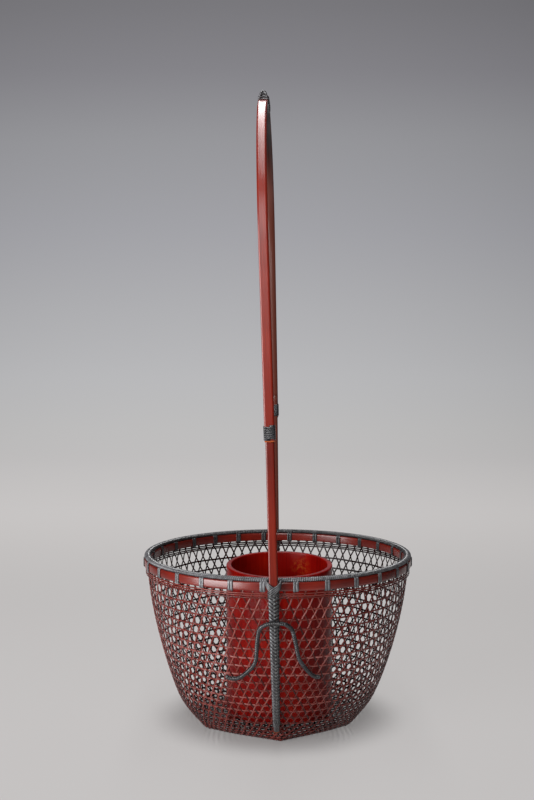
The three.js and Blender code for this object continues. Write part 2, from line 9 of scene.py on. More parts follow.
import bpy
import numpy as np
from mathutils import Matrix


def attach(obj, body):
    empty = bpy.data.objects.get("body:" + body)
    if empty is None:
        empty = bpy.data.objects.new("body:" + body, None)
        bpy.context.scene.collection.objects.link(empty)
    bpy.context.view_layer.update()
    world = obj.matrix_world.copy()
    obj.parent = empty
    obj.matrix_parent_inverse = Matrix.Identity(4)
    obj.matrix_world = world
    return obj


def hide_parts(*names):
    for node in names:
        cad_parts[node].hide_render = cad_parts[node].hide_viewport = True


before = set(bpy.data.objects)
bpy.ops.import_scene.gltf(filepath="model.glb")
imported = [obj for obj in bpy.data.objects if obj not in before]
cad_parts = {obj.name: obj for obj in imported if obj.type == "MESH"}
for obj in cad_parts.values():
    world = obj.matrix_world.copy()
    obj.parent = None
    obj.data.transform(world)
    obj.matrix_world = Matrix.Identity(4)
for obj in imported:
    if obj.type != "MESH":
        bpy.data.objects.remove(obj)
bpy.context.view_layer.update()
MM = 0.001


# Camera. A metre in front of the basket and a little above the rim, looking slightly down, so
# that the mouth shows as a thin ellipse and the arch is seen almost edge on.
camera = bpy.data.objects.new("camera", bpy.data.cameras.new("camera"))
bpy.context.scene.collection.objects.link(camera)
bpy.context.scene.camera = camera
camera.data.sensor_fit = "VERTICAL"
camera.data.sensor_height = 36
camera.data.lens = 56.07
camera.location = (-0.0092, -1.0695, 0.345)
camera.rotation_euler = (math.pi / 2 - 0.065, 0, 0)
bpy.context.scene.view_settings.view_transform = "Standard"


# Light. A wide soft box low on the left models the round forms, a narrow upright one behind and above
# the camera lights the front, and a long strip overhead puts the white sheen on the crown of the
# arch. A plain grey room fills the shadows. The power of a box is pi x width x height x brightness,
# so that its face looks equally bright at any size, and its z axis runs from its aim to its place.
for name, place, aim, width, height, brightness in (
    ("soft_box_left", (-1.69, -1.41, 0.22), (0, 0, 0.14), 1.6, 1.25, 9),
    ("soft_box_front", (-0.15, -2.0, 1.04), (0, -0.1, 0.45), 0.35, 1.25, 8),
    ("strip_box_above", (-0.03, 0.15, 1.65), (-0.03, -0.09, 0.475), 0.22, 2.96, 10),
):
    lamp = bpy.data.lights.new(name, "AREA")
    lamp.shape = "RECTANGLE"
    lamp.size, lamp.size_y = width, height
    lamp.energy = math.pi * width * height * brightness
    box = bpy.data.objects.new(name, lamp)
    bpy.context.scene.collection.objects.link(box)
    towards = np.subtract(place, aim)
    level = math.hypot(towards[0], towards[1])
    box.location = place
    box.rotation_euler = (math.atan2(level, towards[2]), 0, math.atan2(towards[0], -towards[1]))
room = bpy.data.worlds.new("grey_room")
bpy.context.scene.world = room
room.use_nodes = True
room.node_tree.nodes["Background"].inputs["Color"].default_value = (1, 1, 1, 1)
room.node_tree.nodes["Background"].inputs["Strength"].default_value = 0.03


# Sweep. One seamless sheet of pale paper, flat under the basket and curved up behind it. Its colour
# follows the length along the sheet, with a painted fall-off of light to grey towards its top.
def linear(colour):
    """sRGB hex to linear: c/12.92 below 0.04045, otherwise ((c + 0.055) / 1.055) ** 2.4."""
    shares = [int(colour[i:i + 2], 16) / 255 for i in (1, 3, 5)]
    return [c / 12.92 if c <= 0.04045 else ((c + 0.055) / 1.055) ** 2.4 for c in shares] + [1]


def add_node(tree, kind, inputs=None, stops=None, **settings):
    """Adds a node, sets its settings, fills its inputs or links them to a socket or to the first
    output of a node, and sets a ramp's colour stops."""
    node = tree.nodes.new(kind)
    for name, value in settings.items():
        setattr(node, name, value)
    for socket, value in (inputs or {}).items():
        if isinstance(value, bpy.types.Node):
            value = value.outputs[0]
        if isinstance(value, bpy.types.NodeSocket):
            tree.links.new(value, node.inputs[socket])
        else:
            node.inputs[socket].default_value = value
    for i, (position, colour) in enumerate(stops or []):
        elements = node.color_ramp.elements
        stop = elements[i] if i < len(elements) else elements.new(position)
        stop.position = position
        stop.color = linear(colour)
    return node


def new_finish(name):
    """Empty node material, with its tree."""
    material = bpy.data.materials.new(name)
    material.use_nodes = True
    material.node_tree.nodes.clear()
    return material, material.node_tree


def put_mesh(name, points, faces, corner_uv=None, tone=None):
    """Mesh object at the origin from points and faces, with a UV map in metres and a tone per point."""
    mesh = bpy.data.meshes.new(name)
    mesh.from_pydata(points.reshape(-1, 3), [], faces)
    mesh.shade_smooth()
    if corner_uv is not None:
        mesh.uv_layers.new(name="length").data.foreach_set("uv", corner_uv.ravel())
    if tone is not None:
        mesh.attributes.new("tone", "FLOAT", "POINT").data.foreach_set("value", tone.ravel())
    piece = bpy.data.objects.new(name, mesh)
    bpy.context.scene.collection.objects.link(piece)
    return piece


def running_length(line):
    """Length along a line of plane points, from 0 at the first: the sum of the steps up to each."""
    return np.concatenate([[0], np.cumsum(np.hypot(*np.diff(line, axis=0).T))])


SWEEP_FRONT, SWEEP_BACK, SWEEP_BEND, SWEEP_TOP = -0.5, 3.0, 1.0, 2.6
SWEEP_HALF_FRONT, SWEEP_HALF_BACK = 0.5, 1.1
bend = np.linspace(0, np.pi / 2, 24)
sweep_line = np.concatenate([
    [[SWEEP_FRONT, 0]],
    np.stack([SWEEP_BACK - SWEEP_BEND + SWEEP_BEND * np.sin(bend),
              SWEEP_BEND - SWEEP_BEND * np.cos(bend)], 1),
    [[SWEEP_BACK, SWEEP_TOP]],
])
sweep_length = running_length(sweep_line)
sweep_half = np.interp(sweep_line[:, 0], (SWEEP_FRONT, SWEEP_BACK), (SWEEP_HALF_FRONT, SWEEP_HALF_BACK))
sweep_points = np.stack([np.stack([side * sweep_half, *sweep_line.T], 1) for side in (-1, 1)], 1)
rows = np.arange(len(sweep_line) - 1)
sweep_faces = np.stack([2 * rows, 2 * rows + 1, 2 * rows + 3, 2 * rows + 2], 1)
sweep_uv = np.stack([
    np.broadcast_to([0.0, 1.0, 1.0, 0.0], (len(rows), 4)),
    np.stack([sweep_length[:-1], sweep_length[:-1], sweep_length[1:], sweep_length[1:]], 1) / 10,
], 2)
sweep = put_mesh("paper_sweep", sweep_points, sweep_faces.tolist(), sweep_uv)
# Matt background paper: no sheen. Round the basket it takes the light and the shadows, most of all
# under and beside the foot; farther off the camera and the reflections see a painted fall-off of
# light to grey, upwards and a little to both sides.
PAPER_SHADED, PAPER_PLAIN, SIDE_MIDDLE, SIDE_FALL, PAPER_SHARE = 0.085, 0.17, -0.21, 0.14, 0.68
paper, tree = new_finish("matt_background_paper")
sheet_map = add_node(tree, "ShaderNodeUVMap", uv_map="length")
sheet_place = add_node(tree, "ShaderNodeSeparateXYZ", {0: sheet_map})
paper_with_painted_falloff = add_node(tree, "ShaderNodeValToRGB", {"Fac": sheet_place.outputs["Y"]}, stops=[
    (0.05, "#d3d0cf"), (0.14, "#cac7c6"), (0.25, "#c0bebe"), (0.28, "#bebdbd"),
    (0.31, "#b9b9bb"), (0.34, "#afafb2"), (0.37, "#a2a2a7"), (0.40, "#96969a"),
    (0.421, "#858489"), (0.444, "#78777b"),
])
world_place = add_node(tree, "ShaderNodeTexCoord")
sheet_side = add_node(tree, "ShaderNodeSeparateXYZ", {0: world_place.outputs["Object"]})
# Painted fall-off of light towards both sides of the middle.
off_middle = add_node(tree, "ShaderNodeMath", {0: sheet_side.outputs["X"], 1: SIDE_MIDDLE},
                      operation="SUBTRACT")
squared = add_node(tree, "ShaderNodeMath", {0: off_middle, 1: 2.0}, operation="POWER")
fall = add_node(tree, "ShaderNodeMath", {0: squared, 1: -SIDE_FALL, 2: 1.0}, operation="MULTIPLY_ADD")
plain_face = add_node(tree, "ShaderNodeEmission", {"Color": paper_with_painted_falloff, "Strength": fall})
shaded_face = add_node(tree, "ShaderNodeBsdfPrincipled", {
    "Base Color": linear("#b2b0b0"), "Roughness": 0.9, "Specular IOR Level": 0.1,
})
rays = add_node(tree, "ShaderNodeLightPath")
seen = add_node(tree, "ShaderNodeMath", {
    0: rays.outputs["Is Camera Ray"], 1: rays.outputs["Is Glossy Ray"]}, operation="MAXIMUM")
seen = add_node(tree, "ShaderNodeMath", {
    0: seen, 1: rays.outputs["Is Transmission Ray"]}, operation="MAXIMUM")
far = add_node(tree, "ShaderNodeMapRange", {
    "Value": sheet_place.outputs["Y"], "From Min": PAPER_SHADED, "From Max": PAPER_PLAIN,
    "To Min": PAPER_SHARE}, interpolation_type="SMOOTHSTEP")
off_basket = add_node(tree, "ShaderNodeVectorMath", {0: world_place.outputs["Object"]}, operation="LENGTH")
open_paper = add_node(tree, "ShaderNodeMapRange", {
    "Value": off_basket.outputs["Value"], "From Min": 72 * MM, "From Max": 118 * MM,
    "To Min": 0.35}, interpolation_type="SMOOTHSTEP")
share = add_node(tree, "ShaderNodeMath", {0: seen, 1: far}, operation="MULTIPLY")
share = add_node(tree, "ShaderNodeMath", {0: share, 1: open_paper}, operation="MULTIPLY")
sheet_face = add_node(tree, "ShaderNodeMixShader", {0: share, 1: shaded_face, 2: plain_face})
add_node(tree, "ShaderNodeOutputMaterial", {"Surface": sheet_face})
sweep.data.materials.append(paper)


# Body weave. Split bamboo about 1.3 mm wide, plaited in three directions so that each strip goes
# over one neighbour and under the other, and every eye is a hexagon with six small triangles
# round it. 84 columns of eyes round the body; brushed with dark red lacquer when finished.
COLUMNS = 84
MOUTH_RADIUS, BODY_HEIGHT, WEAVE_THICKNESS = 112.7 * MM, 141 * MM, 1.5 * MM
FOOT_APOTHEM, FOOT_REACH, FOOT_HEIGHT = 60 * MM, 25.5 * MM, 22.9 * MM
FOOT_SHIFT, SHIFT_FADE, FOOT_TURN = -2.5 * MM, 30 * MM, math.radians(3.5)
END_CORNERS, SIDE_CORNERS, CORNER_FADE = 1.02, 0.64, 5.4 * MM
WALL_RISE, FOOT_LEAD, FOOT_FLAT = math.radians(64.5), 8.6 * MM, 9.7 * MM
BELLY_LEAD, SHOULDER_LEAD = 20.1 * MM, 42.8 * MM


def bezier(a, b, c, d):
    """Cubic Bezier curve: its four points weighted by (1-t)^3, 3t(1-t)^2, 3t^2(1-t) and t^3."""
    t = np.linspace(0, 1, 400)[:, None]
    return (1 - t) ** 3 * a + 3 * t * (1 - t) ** 2 * b + 3 * t ** 2 * (1 - t) * c + t ** 3 * d


rise = np.array([math.cos(WALL_RISE), math.sin(WALL_RISE)])
foot = np.array([FOOT_APOTHEM, 0.0])
heel = np.array([FOOT_APOTHEM + FOOT_REACH, FOOT_HEIGHT])
mouth = np.array([MOUTH_RADIUS, BODY_HEIGHT])
wall_line = np.concatenate([
    bezier(foot, foot + [FOOT_FLAT, 0], heel - FOOT_LEAD * rise, heel)[:-1],
    bezier(heel, heel + BELLY_LEAD * rise, mouth - [0, SHOULDER_LEAD], mouth),
])
wall_along = running_length(wall_line)
wall_length = wall_along[-1]
wall_slope = np.gradient(wall_line, wall_along, axis=0)


def wall_point(angle, along, depth):
    """Point of the wall: the line's radius and height at a length along it, moved inwards by depth,
    the radius times 1 + k exp(-height / fade) (1 / cos(angle off the middle of the side) - 1), k being
    larger under the handle; x is moved by the foot's shift times exp(-height / its fade)."""
    radius, height = (np.interp(along, wall_along, wall_line[:, k]) for k in (0, 1))
    run, climb = (np.interp(along, wall_along, wall_slope[:, k]) for k in (0, 1))
    side, turned_angle = np.pi / 3, angle - FOOT_TURN
    off_middle = turned_angle - side * np.round(turned_angle / side)
    strength = SIDE_CORNERS + (END_CORNERS - SIDE_CORNERS) * np.maximum(-np.cos(2 * turned_angle), 0)
    corner = 1 + strength * np.exp(-height / CORNER_FADE) * (1 / np.cos(off_middle) - 1)
    radius = (radius - depth * climb) * corner
    return np.stack(np.broadcast_arrays(
        radius * np.cos(angle) + FOOT_SHIFT * np.exp(-height / SHIFT_FADE),
        radius * np.sin(angle), height + depth * run), -1)


def unit(vectors):
    """Each vector over its own length."""
    return vectors / np.linalg.norm(vectors, axis=-1, keepdims=True)


def level_way(angle):
    """Level direction at an angle: (cos, sin, 0)."""
    return np.stack([np.cos(angle), np.sin(angle), 0 * angle], -1)


def wall_outward(angle, along):
    """Outward normal of the wall: the step round it crossed with the step up it."""
    along = np.clip(along, 0.1 * MM, wall_length - 0.1 * MM)
    turn = wall_point(angle + 0.004, along, 0) - wall_point(angle - 0.004, along, 0)
    climb = wall_point(angle, along + 0.1 * MM, 0) - wall_point(angle, along - 0.1 * MM, 0)
    return unit(np.cross(turn, climb))


# Rows of the weave: numbered from the edge of the floor. On the wall, where row 6 is 18.6 mm up, they
# stand 0.955 of a column apart, growing evenly to 1.085; below it they are spread over the foot.
FIRST_WALL_ROW, FIRST_WALL_HEIGHT, ROW_SHARES, LAST_ROW = 6, 18.6 * MM, (0.955, 1.085), 20
EDGE_OF_WEAVE = 140.5 * MM
row_share = np.interp(wall_line[:, 1], (FIRST_WALL_HEIGHT, BODY_HEIGHT), ROW_SHARES)
row_rate = COLUMNS / (row_share * 2 * np.pi * wall_line[:, 0])
rows_up = np.concatenate([[0], np.cumsum((row_rate[1:] + row_rate[:-1]) / 2 * np.diff(wall_along))])
first_up = np.interp(FIRST_WALL_HEIGHT, wall_line[:, 1], rows_up)
wall_rows = np.where(
    rows_up < first_up,
    (FIRST_WALL_ROW + 0.5) * rows_up / first_up - 0.5,
    rows_up - first_up + FIRST_WALL_ROW,
)
top_row = np.interp(EDGE_OF_WEAVE, wall_line[:, 1], wall_rows)


def woven_point(column, row, offset):
    """Place and outward normal in the weave. Columns are even in angle, except that at the foot
    they are even along each side of the turned hexagon, fading with exp(-height / 20 mm)."""
    along = np.interp(row, wall_rows, wall_along)
    height = np.interp(row, wall_rows, wall_line[:, 1])
    even = -np.pi / 2 + 2 * np.pi * column / COLUMNS
    side = np.floor(column / (COLUMNS / 6))
    share = column / (COLUMNS / 6) - side
    straight = (FOOT_TURN - np.pi / 2 + (side + 0.5) * np.pi / 3
                + np.arctan(math.tan(np.pi / 6) * (2 * share - 1)))
    angle = even + np.exp(-height / (20 * MM)) * (straight - even)
    return wall_point(angle, along, WEAVE_THICKNESS / 2 - offset), wall_outward(angle, along)


def carried(name, path, outward, section, closed=False, tone=None):
    """Skins made by carrying a section along paths: point = path + a W + b N, with T the way along the
    path, W = outward x T and N = T x W, and (a, b) going round the section anticlockwise.
    Paths are strips x steps x 3; an open skin is closed with a flat face at each end. The tone is
    given per strip, per point of the section, or for both steps and points."""
    path, outward = (np.asarray(x, float).reshape((-1,) + np.shape(x)[-2:]) for x in (path, outward))
    ahead = np.roll(path, -1, 1) - np.roll(path, 1, 1) if closed else np.gradient(path, axis=1)
    ahead = unit(ahead)
    width = unit(np.cross(outward, ahead))
    normal = np.cross(ahead, width)
    section = np.broadcast_to(section, path.shape[:2] + np.shape(section)[-2:])
    points = (path[:, :, None] + width[:, :, None] * section[..., :1]
              + normal[:, :, None] * section[..., 1:])
    strips, steps, count = points.shape[:3]
    runs = steps if closed else steps - 1
    strip, step, corner = np.ogrid[:strips, :runs, :count]
    after, beside = (step + 1) % steps, (corner + 1) % count
    index = lambda i, j: (strip * steps + i) * count + j
    quads = np.stack(np.broadcast_arrays(
        index(step, corner), index(step, beside), index(after, beside), index(after, corner)), -1)
    pace = np.linalg.norm(np.roll(path, -1, 1) - path, axis=2)
    along = np.concatenate([np.zeros((strips, 1)), np.cumsum(pace, 1)], 1)
    across = section[..., 0]
    a0, a1 = along[:, :runs, None], along[:, 1:runs + 1, None]
    here, there = across[:, :runs], np.roll(across, -1, 1)[:, :runs]
    uv = np.stack([
        np.stack(np.broadcast_arrays(a0, here), -1),
        np.stack(np.broadcast_arrays(a0, np.roll(here, -1, 2)), -1),
        np.stack(np.broadcast_arrays(a1, np.roll(there, -1, 2)), -1),
        np.stack(np.broadcast_arrays(a1, there), -1),
    ], -2).reshape(-1, 2)
    faces = quads.reshape(-1, 4).tolist()
    if not closed:
        starts = np.arange(strips)[:, None] * steps * count + np.arange(count)
        caps = np.concatenate([starts[:, ::-1], starts + (steps - 1) * count])
        first = np.stack(np.broadcast_arrays(along[:, :1], across[:, 0, ::-1]), -1)
        last = np.stack(np.broadcast_arrays(along[:, steps - 1:steps], across[:, -1]), -1)
        uv = np.concatenate([uv, first.reshape(-1, 2), last.reshape(-1, 2)])
        faces += caps.tolist()
    if tone is not None:
        tone = np.reshape(tone, (-1, 1, 1)) if np.shape(tone) == (strips,) else tone
        tone = np.broadcast_to(tone, points.shape[:3])
    return put_mesh(name, points, faces, uv, tone)


chance = np.random.default_rng(84)
STRIP_THICKNESS, OVER_UNDER = 0.5 * MM, 0.3 * MM
LEVEL_WIDTH, SLANT_WIDTH = 1.55 * MM, 1.4 * MM
# Crowned split strip: a round outer face, a flatter inner one.
CROWNED = np.array([
    [1, -0.3], [0.82, 0.4], [0.35, 0.95], [-0.35, 0.95],
    [-0.82, 0.4], [-1, -0.3], [-0.6, -0.9], [0.6, -0.9],
]) / 2
# The tone paints light and shade on each strip: a painted highlight on the crown, painted shade at
# the edges and on the inner face. The level strips get the most painted light, and those that lean to the
# left the most painted shade.
CROWN_LIGHT_AND_SHADE = np.array([-0.7, 0.1, 0.5, 0.5, 0.1, -0.7, -1.3, -1.3])


def strip_tones(count, shade=0.0):
    """A chance tone for each strip, plus the family's shade and the painted highlight and shade of each
    point of the section.
    """
    return chance.uniform(0, 0.8, (count, 1, 1)) + CROWN_LIGHT_AND_SHADE + shade


def wander(count, steps, reach):
    """Slow drift of hand-laid strips: two sines per strip with chance phases, strips x steps."""
    t = np.linspace(0, 2 * np.pi, steps, endpoint=False)
    first, second = chance.uniform(0, 2 * np.pi, (2, count, 1))
    turns = chance.integers(3, 7, (count, 1))
    return reach * (np.sin(turns * t + first) + 0.6 * np.sin((2 * turns + 3) * t + second))


steps = 4 * COLUMNS
level_rows = np.arange(LAST_ROW + 1)[:, None]
level_columns = np.linspace(0, COLUMNS, steps, endpoint=False)[None]
level_offset = OVER_UNDER * np.cos(2 * np.pi * (level_columns - 0.75 - level_rows / 2))
level_place, level_out = woven_point(
    level_columns, level_rows + wander(LAST_ROW + 1, steps, 0.035), level_offset)
# The level strips get a little painted light in their tone.
wall_level = carried(
    "wall_level_strips", level_place, level_out, CROWNED * [LEVEL_WIDTH, STRIP_THICKNESS], True,
    strip_tones(LAST_ROW + 1, 0.2))

steps = int(4 * (top_row + 0.5)) + 1
slant_rows = np.linspace(-0.5, top_row, steps)[None]
slant_columns = np.arange(COLUMNS)[:, None]
slant_lift = OVER_UNDER * np.cos(2 * np.pi * slant_rows)
right_place, right_out = woven_point(
    slant_columns + 0.75 + slant_rows / 2 + wander(COLUMNS, steps, 0.035), slant_rows, -slant_lift)
left_place, left_out = woven_point(
    slant_columns + 0.25 - slant_rows / 2 + wander(COLUMNS, steps, 0.035), slant_rows, slant_lift)
# The right-leaning strips get a little painted light in their tone, the left-leaning ones painted shade.
wall_right = carried("wall_right_strips", right_place, right_out,
                     CROWNED * [SLANT_WIDTH, STRIP_THICKNESS], tone=strip_tones(COLUMNS, 0.1))
wall_left = carried("wall_left_strips", left_place, left_out,
                    CROWNED * [SLANT_WIDTH, STRIP_THICKNESS], tone=strip_tones(COLUMNS, -0.5))

# Floor: the same strips, lying flat in three families parallel to the sides of the turned hexagon.
FLOOR_STRIPS = 28
floor_pitch = 2 * FOOT_APOTHEM / FLOOR_STRIPS
floor_offset = (np.arange(FLOOR_STRIPS) - (FLOOR_STRIPS - 1) / 2) * floor_pitch
normals = np.stack([[math.cos(a), math.sin(a)] for a in np.radians([0, 60, 120]) + FOOT_TURN])
half = (FOOT_APOTHEM - np.abs(floor_offset) / 2) / math.sin(np.pi / 3)
share = np.linspace(-1, 1, 97)
floor_place = []
for family in range(3):
    normal = normals[family]
    ahead = np.array([-normal[1], normal[0]])
    flat = (floor_offset[:, None, None] * normal
            + (half[:, None] * share)[..., None] * ahead)
    over = OVER_UNDER * np.cos(2 * np.pi * (flat @ normals[(family + 1) % 3] / floor_pitch - 0.5))
    floor_place.append(np.concatenate([flat, (WEAVE_THICKNESS / 2 - over)[..., None]], -1))
floor_place = np.concatenate(floor_place) + [FOOT_SHIFT, 0, 0]
floor_strips = carried(
    "floor_strips", floor_place, np.broadcast_to([0.0, 0, -1], floor_place.shape),
    CROWNED * [LEVEL_WIDTH, STRIP_THICKNESS], tone=strip_tones(3 * FLOOR_STRIPS))

# Edge strips: close level strips laid outside the crossings, just under the hoops.
EDGE_HEIGHTS, EDGE_RADIUS = np.array([131.8, 130.1, 128.4]) * MM, 113.5 * MM
turn = np.linspace(0, 2 * np.pi, steps := 336, endpoint=False)
edge_radius = EDGE_RADIUS + 0.12 * MM * np.cos(84 * turn)
edge_place = np.stack(np.broadcast_arrays(
    edge_radius * np.cos(turn), edge_radius * np.sin(turn),
    EDGE_HEIGHTS[:, None] + wander(3, steps, 0.12 * MM)), -1)
edge_out = np.broadcast_to(level_way(turn), edge_place.shape)
edge_strips = carried("edge_strips", edge_place, edge_out,
                      CROWNED * [1.25 * MM, 0.5 * MM], True, strip_tones(3, -0.3))


def fibrous_finish(name, grain, detail, roughness, cloud, cloud_detail, relief):
    """Node material with a noise of fibres of the grain's two sizes along the length map, a noise of
    clouds in the object, and a bump of a strength and a depth that follows the fibres."""
    material, tree = new_finish(name)
    length_map = add_node(tree, "ShaderNodeUVMap", uv_map="length")
    fibres = add_node(tree, "ShaderNodeMapping", {
        "Vector": length_map, "Scale": (1 / grain[0], 1 / grain[1], 1)})
    fibre = add_node(tree, "ShaderNodeTexNoise", {
        "Vector": fibres, "Scale": 1.0, "Detail": detail, "Roughness": roughness})
    here = add_node(tree, "ShaderNodeTexCoord")
    clouds = add_node(tree, "ShaderNodeTexNoise", {
        "Vector": here.outputs["Object"], "Scale": 1 / cloud, "Detail": cloud_detail})
    bump = add_node(tree, "ShaderNodeBump", {
        "Height": fibre, "Strength": relief[0], "Distance": relief[1]})
    return material, tree, fibre, clouds, bump, here


# Lacquered split bamboo: a dark red brown, varying by chance from strip to strip and patch to patch,
# with fine fibres along the strip and a soft satin sheen. The tone paints a highlight on the crowns and on
# the level strips, and shade at the edges, on the inner faces, on the strips that lean to the left and
# towards the foot.
woven, tree, fibre, patch, bump, here = fibrous_finish(
    "lacquered_split_bamboo", grain=(18 * MM, 0.25 * MM), detail=3.0, roughness=0.6,
    cloud=22 * MM, cloud_detail=3.0, relief=(0.25, 0.05 * MM))
# The tone attribute carries the strips' painted highlight and shade.
tone = add_node(tree, "ShaderNodeAttribute", attribute_name="tone")
mixed = add_node(tree, "ShaderNodeMath", {0: tone.outputs["Fac"], 1: patch}, operation="ADD")
mixed = add_node(tree, "ShaderNodeMath", {0: mixed, 1: fibre}, operation="ADD")
height = add_node(tree, "ShaderNodeSeparateXYZ", {0: here.outputs["Object"]})
# Painted shade: the strips darken towards the foot.
painted_foot_shade = add_node(tree, "ShaderNodeMapRange", {
    "Value": height.outputs["Z"], "From Min": 5 * MM, "From Max": 55 * MM, "To Min": -0.16, "To Max": 0.0})
mixed = add_node(tree, "ShaderNodeMath", {0: mixed, 1: 1 / 3, 2: painted_foot_shade}, operation="MULTIPLY_ADD")
colour = add_node(tree, "ShaderNodeValToRGB", {"Fac": mixed}, stops=[
    (0.2, "#210504"), (0.42, "#54130d"), (0.6, "#782b22"), (0.8, "#9a5a54")])
face = add_node(tree, "ShaderNodeBsdfPrincipled", {
    "Base Color": colour, "Roughness": 0.26, "Specular IOR Level": 0.35, "Normal": bump})
add_node(tree, "ShaderNodeOutputMaterial", {"Surface": face})

for piece in (wall_level, wall_right, wall_left, floor_strips, edge_strips):
    piece.data.materials.append(woven)
    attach(piece, "basket")
    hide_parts("body_weave")
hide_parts("edge_strip_1", "edge_strip_2", "edge_strip_3")


# Hoops. Two flat strips of bamboo bent round the mouth, one outside and one inside the weave,
# with eased edges and a slightly crowned face, lacquered red and polished.
HOOP_FOOT, HOOP_TOP = 134 * MM, 141 * MM
ring_turn = np.linspace(0, 2 * np.pi, 240, endpoint=False)
ring_out = level_way(ring_turn)


def crowned_strip(width, thickness, ease=0.35 * MM, crown=0.12 * MM):
    """Section of a flat strip: eased corners, and an outer face raised by crown (1 - (a / half)^2)."""
    half, deep = width / 2, thickness / 2
    a = np.linspace(half - 0.4 * ease, ease - half, 7)
    face = np.stack([a, deep - crown * (a / half) ** 2], -1)
    back = [[-half, deep - crown - ease], [-half, ease - deep], [ease - half, -deep],
            [half - ease, -deep], [half, ease - deep], [half, deep - crown - ease]]
    return np.concatenate([face, back])


def hoop(name, inside, outside, facing):
    """Level ring of the crowned section; facing 1 crowns the outer face and -1 the inner one."""
    path = ring_out * (inside + outside) / 2 + [0, 0, (HOOP_FOOT + HOOP_TOP) / 2]
    return carried(name, path, facing * ring_out,
                   crowned_strip(HOOP_TOP - HOOP_FOOT, outside - inside), True)


outer_ring = hoop("outer_hoop_strip", 113.1 * MM, 115.0 * MM, 1)
inner_ring = hoop("inner_hoop_strip", 108.9 * MM, 110.8 * MM, -1)

# Polished lacquer over bamboo: deep red brown, glossy, with long faint fibres and brown clouds
# where the lacquer is thinner.
hoop_finish, tree, fibre, cloud, bump, here = fibrous_finish(
    "polished_red_lacquer_over_bamboo", grain=(40 * MM, 0.5 * MM), detail=4.0, roughness=0.65,
    cloud=30 * MM, cloud_detail=2.0, relief=(0.06, 0.05 * MM))
mixed = add_node(tree, "ShaderNodeMix", {0: 0.5, 2: fibre, 3: cloud})
colour = add_node(tree, "ShaderNodeValToRGB", {"Fac": mixed}, stops=[
    (0.3, "#48100a"), (0.5, "#701a10"), (0.7, "#8c281a")])
face = add_node(tree, "ShaderNodeBsdfPrincipled", {
    "Base Color": colour, "Roughness": 0.26, "Specular IOR Level": 0.75, "Normal": bump})
add_node(tree, "ShaderNodeOutputMaterial", {"Surface": face})

for piece, node in ((outer_ring, "outer_hoop"), (inner_ring, "inner_hoop")):
    piece.data.materials.append(hoop_finish)
    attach(piece, "basket")
    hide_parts(node)


# Rim cord. A core laid on top of both hoops and wound closely with split rattan dyed black; the
# turns show as fine slanting ridges, with painted shade in the grooves and on the side towards the mouth.
CORD_RADIUS, CORD_HEIGHT, CORD_SIZE, WINDING_PITCH = 111.95 * MM, 142.6 * MM, (3.6 * MM, 6 * MM), 1.7 * MM


def wound_section(path, size, pitch, closed, sides=12):
    """Oval section with the groove of a winding: its radii times 0.8 + 0.2 |sin(pi s / pitch +
    angle / 2)|, s being the length along the path; and how deep each point lies in the groove."""
    pace = np.linalg.norm(np.roll(path, -1, 0) - path, axis=1)
    along = np.concatenate([[0], np.cumsum(pace)])
    turns = round(along[-1] / pitch) if closed else along[-2] / pitch
    phase = np.pi * turns * along[:-1] / (along[-1] if closed else along[-2])
    angle = np.linspace(0, 2 * np.pi, sides, endpoint=False)
    ridge = np.abs(np.sin(phase[:, None] + angle / 2))
    oval = np.stack([np.cos(angle), np.sin(angle)], -1) * size / 2
    return (0.8 + 0.2 * ridge)[..., None] * oval, (1 - ridge) ** 2


count = 8 * round(2 * np.pi * CORD_RADIUS / WINDING_PITCH)
turn = np.linspace(0, 2 * np.pi, count, endpoint=False)
cord_out = level_way(turn)
cord_path = cord_out * CORD_RADIUS + [0, 0, CORD_HEIGHT]
section, groove = wound_section(cord_path, np.array(CORD_SIZE), WINDING_PITCH, True)
# Painted shade on the half of the section towards the mouth, and in the grooves of the winding.
shaded_side = 0.75 * np.clip(-1.6 * np.sin(np.arange(12) * np.pi / 6), 0, 1)
rim_winding = carried(
    "rim_cord_winding", cord_path, cord_out, section, True, np.maximum(groove, shaded_side))

# Split rattan dyed black: greyish where the skin is rubbed, with satin highlights. The tone paints
# shade: near black in the gaps between strands and turns, and on the sides that face away from the light.
rattan, tree = new_finish("black_dyed_split_rattan")
here = add_node(tree, "ShaderNodeTexCoord")
wear_and_lit_copy = add_node(tree, "ShaderNodeTexNoise", {
    "Vector": here.outputs["Object"], "Scale": 1 / (6 * MM), "Detail": 4.0, "Roughness": 0.7})
grain = add_node(tree, "ShaderNodeTexNoise", {
    "Vector": here.outputs["Object"], "Scale": 1 / (0.4 * MM), "Detail": 2.0})
ramp = add_node(tree, "ShaderNodeValToRGB", {"Fac": wear_and_lit_copy}, stops=[
    (0.3, "#1b1a1c"), (0.5, "#2c2b2e"), (0.72, "#4c4b4f")])
# The tone paints shade, mixing the colour towards near black.
painted_shade_tone = add_node(tree, "ShaderNodeAttribute", attribute_name="tone")
colour = add_node(tree, "ShaderNodeMix", {
    0: painted_shade_tone.outputs["Fac"], 6: ramp, 7: linear("#0a090a")}, data_type="RGBA")
bump = add_node(tree, "ShaderNodeBump", {"Height": grain, "Strength": 0.2, "Distance": 0.05 * MM})
face = add_node(tree, "ShaderNodeBsdfPrincipled", {
    "Base Color": colour.outputs[2], "Roughness": 0.24, "Specular IOR Level": 0.7, "Normal": bump})
add_node(tree, "ShaderNodeOutputMaterial", {"Surface": face})
